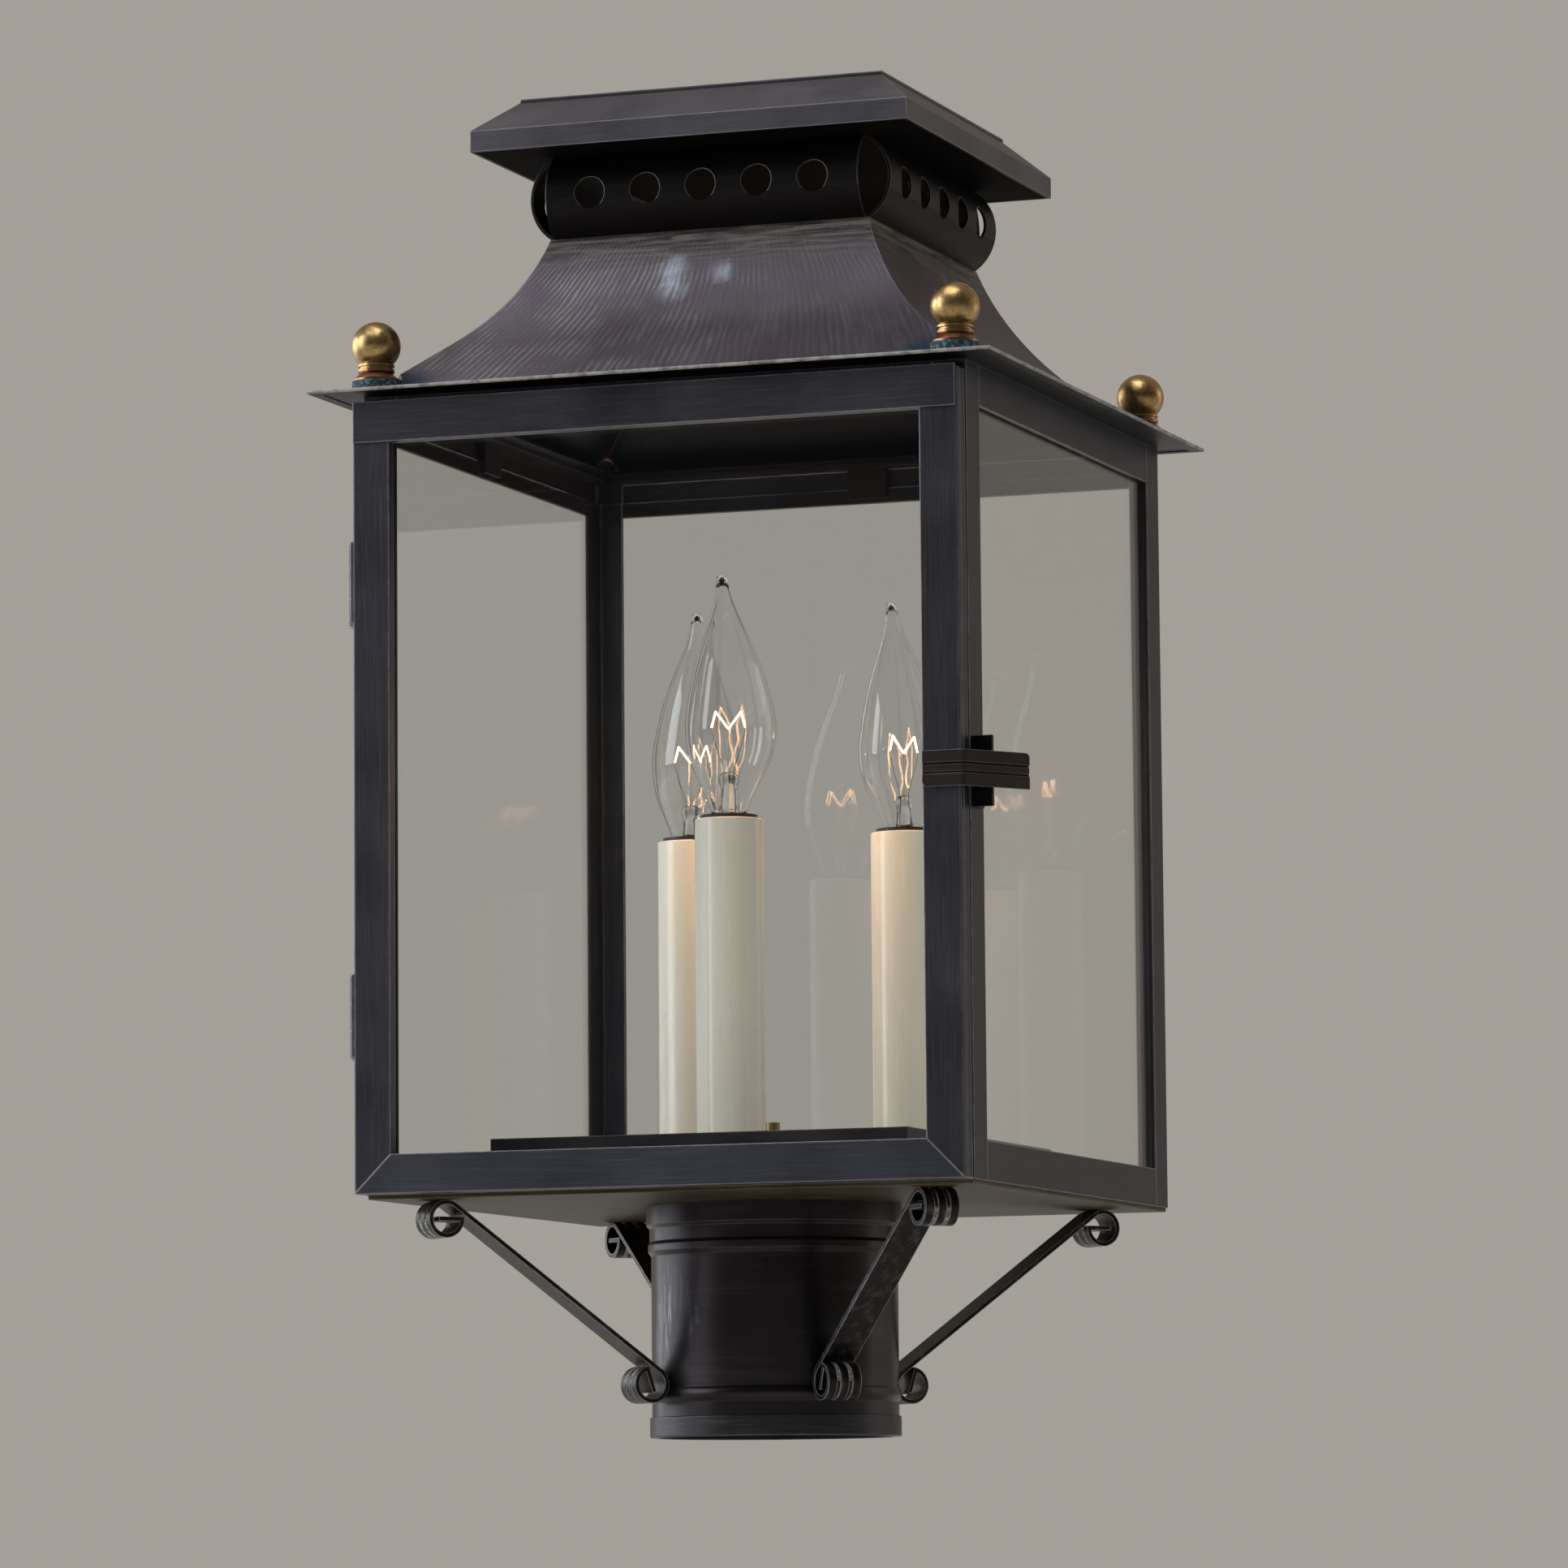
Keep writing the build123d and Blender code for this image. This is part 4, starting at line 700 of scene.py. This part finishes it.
def bulb_glass(number, centre, neck):
    """Blown glass: an outer wall, an inner wall that faces inwards, and a ring at the neck between them."""
    body = f"bulb_{number}"
    outer = [*glass_rings(TIP, OUTER_RINGS, 0.0), (1.4, TIP - 0.5), (1.0, TIP - 0.15), (0.0, TIP)]
    inner = [*glass_rings(HOLLOW_TOP, INNER_RINGS, GLASS_WALL), (0.0, HOLLOW_TOP)]
    glass = lathe(f"bulb_{number}_flame", outer, centre, neck, number=number)
    inside = lathe(f"bulb_{number}_inside", inner, centre, neck, number=number)
    glass.data.materials.append(bulb_clear.mat)
    wall = bmesh.new()
    wall.from_mesh(inside.data)
    bmesh.ops.reverse_faces(wall, faces=wall.faces)
    wall.to_mesh(inside.data)
    wall.free()
    work = bmesh.new()
    work.from_mesh(glass.data)
    work.from_mesh(inside.data)
    bmesh.ops.bridge_loops(work, edges=[edge for edge in work.edges if edge.is_boundary])
    work.to_mesh(glass.data)
    work.free()
    bpy.data.objects.remove(inside)
    for face in glass.data.polygons:
        face.use_smooth = True
    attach(glass, body)
    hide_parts(f"bulb_{number}_glass")


def bulb_stem(number, centre, neck, turn):
    """Pressed glass stem, round at its foot and pinched flat at its top."""
    body = f"bulb_{number}"
    stem = lathe(f"bulb_{number}_stem", STEM_RINGS, centre, neck, STEM_SIDES)
    for vertex in stem.data.vertices:
        height = (vertex.co.z - neck) * MILLIMETRES
        flat = min(1.0, max(0.0, (height - PINCH_FROM) / PINCH_RISE))
        dx, dy = vertex.co.x - centre[0], vertex.co.y - centre[1]
        across = dx * cos(turn) + dy * sin(turn)
        depth = -dx * sin(turn) + dy * cos(turn)
        across *= 1 + PINCH_WIDER * flat
        depth *= 1 - PINCH_FLATTER * flat
        vertex.co.x = centre[0] + across * cos(turn) - depth * sin(turn)
        vertex.co.y = centre[1] + across * sin(turn) + depth * cos(turn)
    stem.data.materials.append(stem_clear.mat)
    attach(stem, body)
    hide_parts(f"bulb_{number}_filament")
    return stem


def bulb_leads(number, at):
    """Two thick leads up from the stem's foot and a thin one between them from its top."""
    body = f"bulb_{number}"
    paths = [[(way * across, height) for across, height in SIDE_LEAD] for way in (-1, 1)]
    paths.append(MIDDLE_LEAD)
    widths = (SIDE_LEAD_WIDTH, SIDE_LEAD_WIDTH, MIDDLE_LEAD_WIDTH)
    leads = []
    for index, (path, width) in enumerate(zip(paths, widths), start=1):
        lead = wire(f"bulb_{number}_lead_{index}", [at(*point) for point in path], width)
        lead.data.materials.append(lead_metal.mat)
        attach(lead, body)
        leads.append(lead)
    return leads


def bulb_coil(number, at):
    """Coiled filament strung up and down between its five corners."""
    body = f"bulb_{number}"
    points = []
    for (x0, z0), (x1, z1) in zip(COIL_CORNERS, COIL_CORNERS[1:]):
        length = sqrt((x1 - x0) ** 2 + (z1 - z0) ** 2)
        nx, nz = -(z1 - z0) / length, (x1 - x0) / length
        steps = COIL_TURNS * COIL_STEPS
        for step in range(steps):
            share = step / steps
            angle = 2 * pi * COIL_TURNS * share
            points.append(at(
                x0 + (x1 - x0) * share + COIL_RADIUS * cos(angle) * nx,
                z0 + (z1 - z0) * share + COIL_RADIUS * cos(angle) * nz,
                COIL_RADIUS * sin(angle),
            ))
    filament = wire(f"bulb_{number}_coil", points, COIL_WIDTH, 0)
    filament.data.materials.append(glowing.mat)
    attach(filament, body)


def bulb_glow(number, place, shaded):
    """Light that the filament gives to all but its own mount."""
    data = bpy.data.lights.new(f"glow_{number}", "POINT")
    data.energy = GLOW_POWER
    data.color = (1.0, 0.56, 0.27)
    data.shadow_soft_size = 0.003
    glow = bpy.data.objects.new(f"glow_{number}", data)
    glow.location = place
    # only the coil shows in the glass and in polished metal, not the light that stands for it
    glow.visible_glossy = False
    glow.visible_transmission = False
    scene.collection.objects.link(glow)
    # the coil itself lights the stem and the leads, which stand too close to the point light
    mount = bpy.data.collections.new(f"bulb_{number}_mount")
    for member in shaded:
        mount.objects.link(member)
    glow.light_linking.receiver_collection = mount
    for member in mount.collection_objects:
        member.light_linking.link_state = "EXCLUDE"


def make_bulb(number, centre, neck, turn):
    def at(across, height, depth=0.0):
        return (
            centre[0] + (across * cos(turn) - depth * sin(turn)) / MILLIMETRES,
            centre[1] + (across * sin(turn) + depth * cos(turn)) / MILLIMETRES,
            neck + height / MILLIMETRES,
        )

    bulb_glass(number, centre, neck)
    stem = bulb_stem(number, centre, neck, turn)
    leads = bulb_leads(number, at)
    bulb_coil(number, at)
    bulb_glow(number, at(0.0, GLOW_HEIGHT), [stem, *leads])


for index in range(3):
    angle = radians(-90 + 120 * index)
    centre = (CANDLE_RING * cos(angle), CANDLE_SETBACK + CANDLE_RING * sin(angle))
    make_bulb(index + 1, centre, NECK_LEVELS[index], BULB_TURNS[index])

# ---------------------------------------------------------------- floor, backdrop and lights
BACKDROP = (0.372, 0.352, 0.318)
DARK_ROOM = (0.030, 0.032, 0.038)
BACKDROP_IN_MIRRORS = (0.250, 0.218, 0.188)
SOFT_LIGHT = (0.56, 0.57, 0.59)
# from in front at -1 to behind at 1, the dark room gives way to the backdrop between these two
ROOM_ENDS = -0.35
BACKDROP_BEGINS = 0.25
FLOOR_LEVEL = -0.062
FLOOR_HALF = 14.0
WARM = (1.0, 0.95, 0.90)
LANTERN_MIDDLE = (0, 0, 0.22)


def make_floor():
    corners = [(-FLOOR_HALF, -FLOOR_HALF), (FLOOR_HALF, -FLOOR_HALF), (FLOOR_HALF, FLOOR_HALF),
               (-FLOOR_HALF, FLOOR_HALF)]
    mesh = bpy.data.meshes.new("floor")
    mesh.from_pydata([(x, y, FLOOR_LEVEL) for x, y in corners], [], [(0, 1, 2, 3)])
    floor = bpy.data.objects.new("floor", mesh)
    scene.collection.objects.link(floor)
    mat = Shade("floor_plain", Roughness=0.9, Specular_IOR_Level=0.1)
    cloud = mat.noise(mat.place, 2.0, 3)
    mat.set(Base_Color=mat.mix(cloud, (0.50, 0.48, 0.44), (0.54, 0.52, 0.475)))
    mesh.materials.append(mat.mat)


def make_world():
    """Even light for matt surfaces; mirrors see the pale backdrop behind and a dark room in front."""
    world = bpy.data.worlds.new("studio")
    world.use_nodes = True
    scene.world = world
    tree = world.node_tree
    link = tree.links.new

    def background(colour):
        made = tree.nodes.new("ShaderNodeBackground")
        made.inputs["Color"].default_value = (*colour, 1)
        return made

    def blend(fac, first, second):
        made = tree.nodes.new("ShaderNodeMixShader")
        link(fac, made.inputs[0])
        link(first.outputs[0], made.inputs[1])
        link(second.outputs[0], made.inputs[2])
        return made

    path = tree.nodes.new("ShaderNodeLightPath")
    place = tree.nodes.new("ShaderNodeTexCoord")
    parts = tree.nodes.new("ShaderNodeSeparateXYZ")
    link(place.outputs["Generated"], parts.inputs[0])
    forward = tree.nodes.new("ShaderNodeMapRange")
    forward.inputs["From Min"].default_value = ROOM_ENDS
    forward.inputs["From Max"].default_value = BACKDROP_BEGINS
    link(parts.outputs["Y"], forward.inputs["Value"])
    pale = background(BACKDROP)
    dark = background(DARK_ROOM)
    through = blend(forward.outputs[0], dark, pale)
    mirrored = blend(forward.outputs[0], dark, background(BACKDROP_IN_MIRRORS))
    soft = blend(path.outputs["Is Glossy Ray"], background(SOFT_LIGHT), mirrored)
    soft = blend(path.outputs["Is Transmission Ray"], soft, through)
    shown = blend(path.outputs["Is Camera Ray"], soft, pale)
    link(shown.outputs[0], tree.nodes["World Output"].inputs["Surface"])


def softbox(name, place, size, radiance, colour=(1, 1, 1), through_glass=True):
    """Rectangular soft light aimed at the lantern; radiance is its brightness as a mirror would show it.

    With through_glass off the light itself isn't seen through a pane, only what it lights.
    """
    data = bpy.data.lights.new(name, "AREA")
    data.shape = "RECTANGLE"
    data.size, data.size_y = size
    data.energy = radiance * pi * size[0] * size[1]
    data.color = colour
    light = bpy.data.objects.new(name, data)
    light.location = place
    way = Vector(LANTERN_MIDDLE) - Vector(place)
    light.rotation_mode = "QUATERNION"
    light.rotation_quaternion = way.to_track_quat("-Z", "Y")
    light.visible_transmission = through_glass
    scene.collection.objects.link(light)
    return light


def candle_fill():
    """Front light that falls on the ivory tubes only."""
    light = softbox("candle_fill", (1.9, -1.6, 0.8), (1.0, 1.0), 7.5, (1.0, 0.97, 0.92), through_glass=False)
    light.visible_glossy = False
    tubes = bpy.data.collections.new("candle_fill_tubes")
    for number in (1, 2, 3):
        tubes.objects.link(nodes[f"candle_sleeve_{number}"])
    light.light_linking.receiver_collection = tubes


make_floor()
make_world()
softbox("key_left", (-2.3, -1.5, 1.2), (1.4, 2.0), 4.2, (0.88, 0.93, 1.0))
softbox("side_left", (-2.7, 0.0, 0.75), (1.5, 1.6), 3.4, (0.84, 0.91, 1.0), through_glass=False)
softbox("fill_right", (2.0, 1.7, 0.8), (1.2, 1.6), 0.5, WARM)
softbox("top", (-0.2, -0.9, 2.6), (2.0, 1.6), 2.8, (0.97, 0.98, 1.0))
candle_fill()
softbox("rim_left", (-1.9, 0.9, 0.35), (0.25, 1.6), 3.5, through_glass=False)
softbox("rim_right", (2.1, 1.3, 0.35), (0.25, 1.6), 1.2, WARM, through_glass=False)

scene.view_settings.view_transform = "Standard"
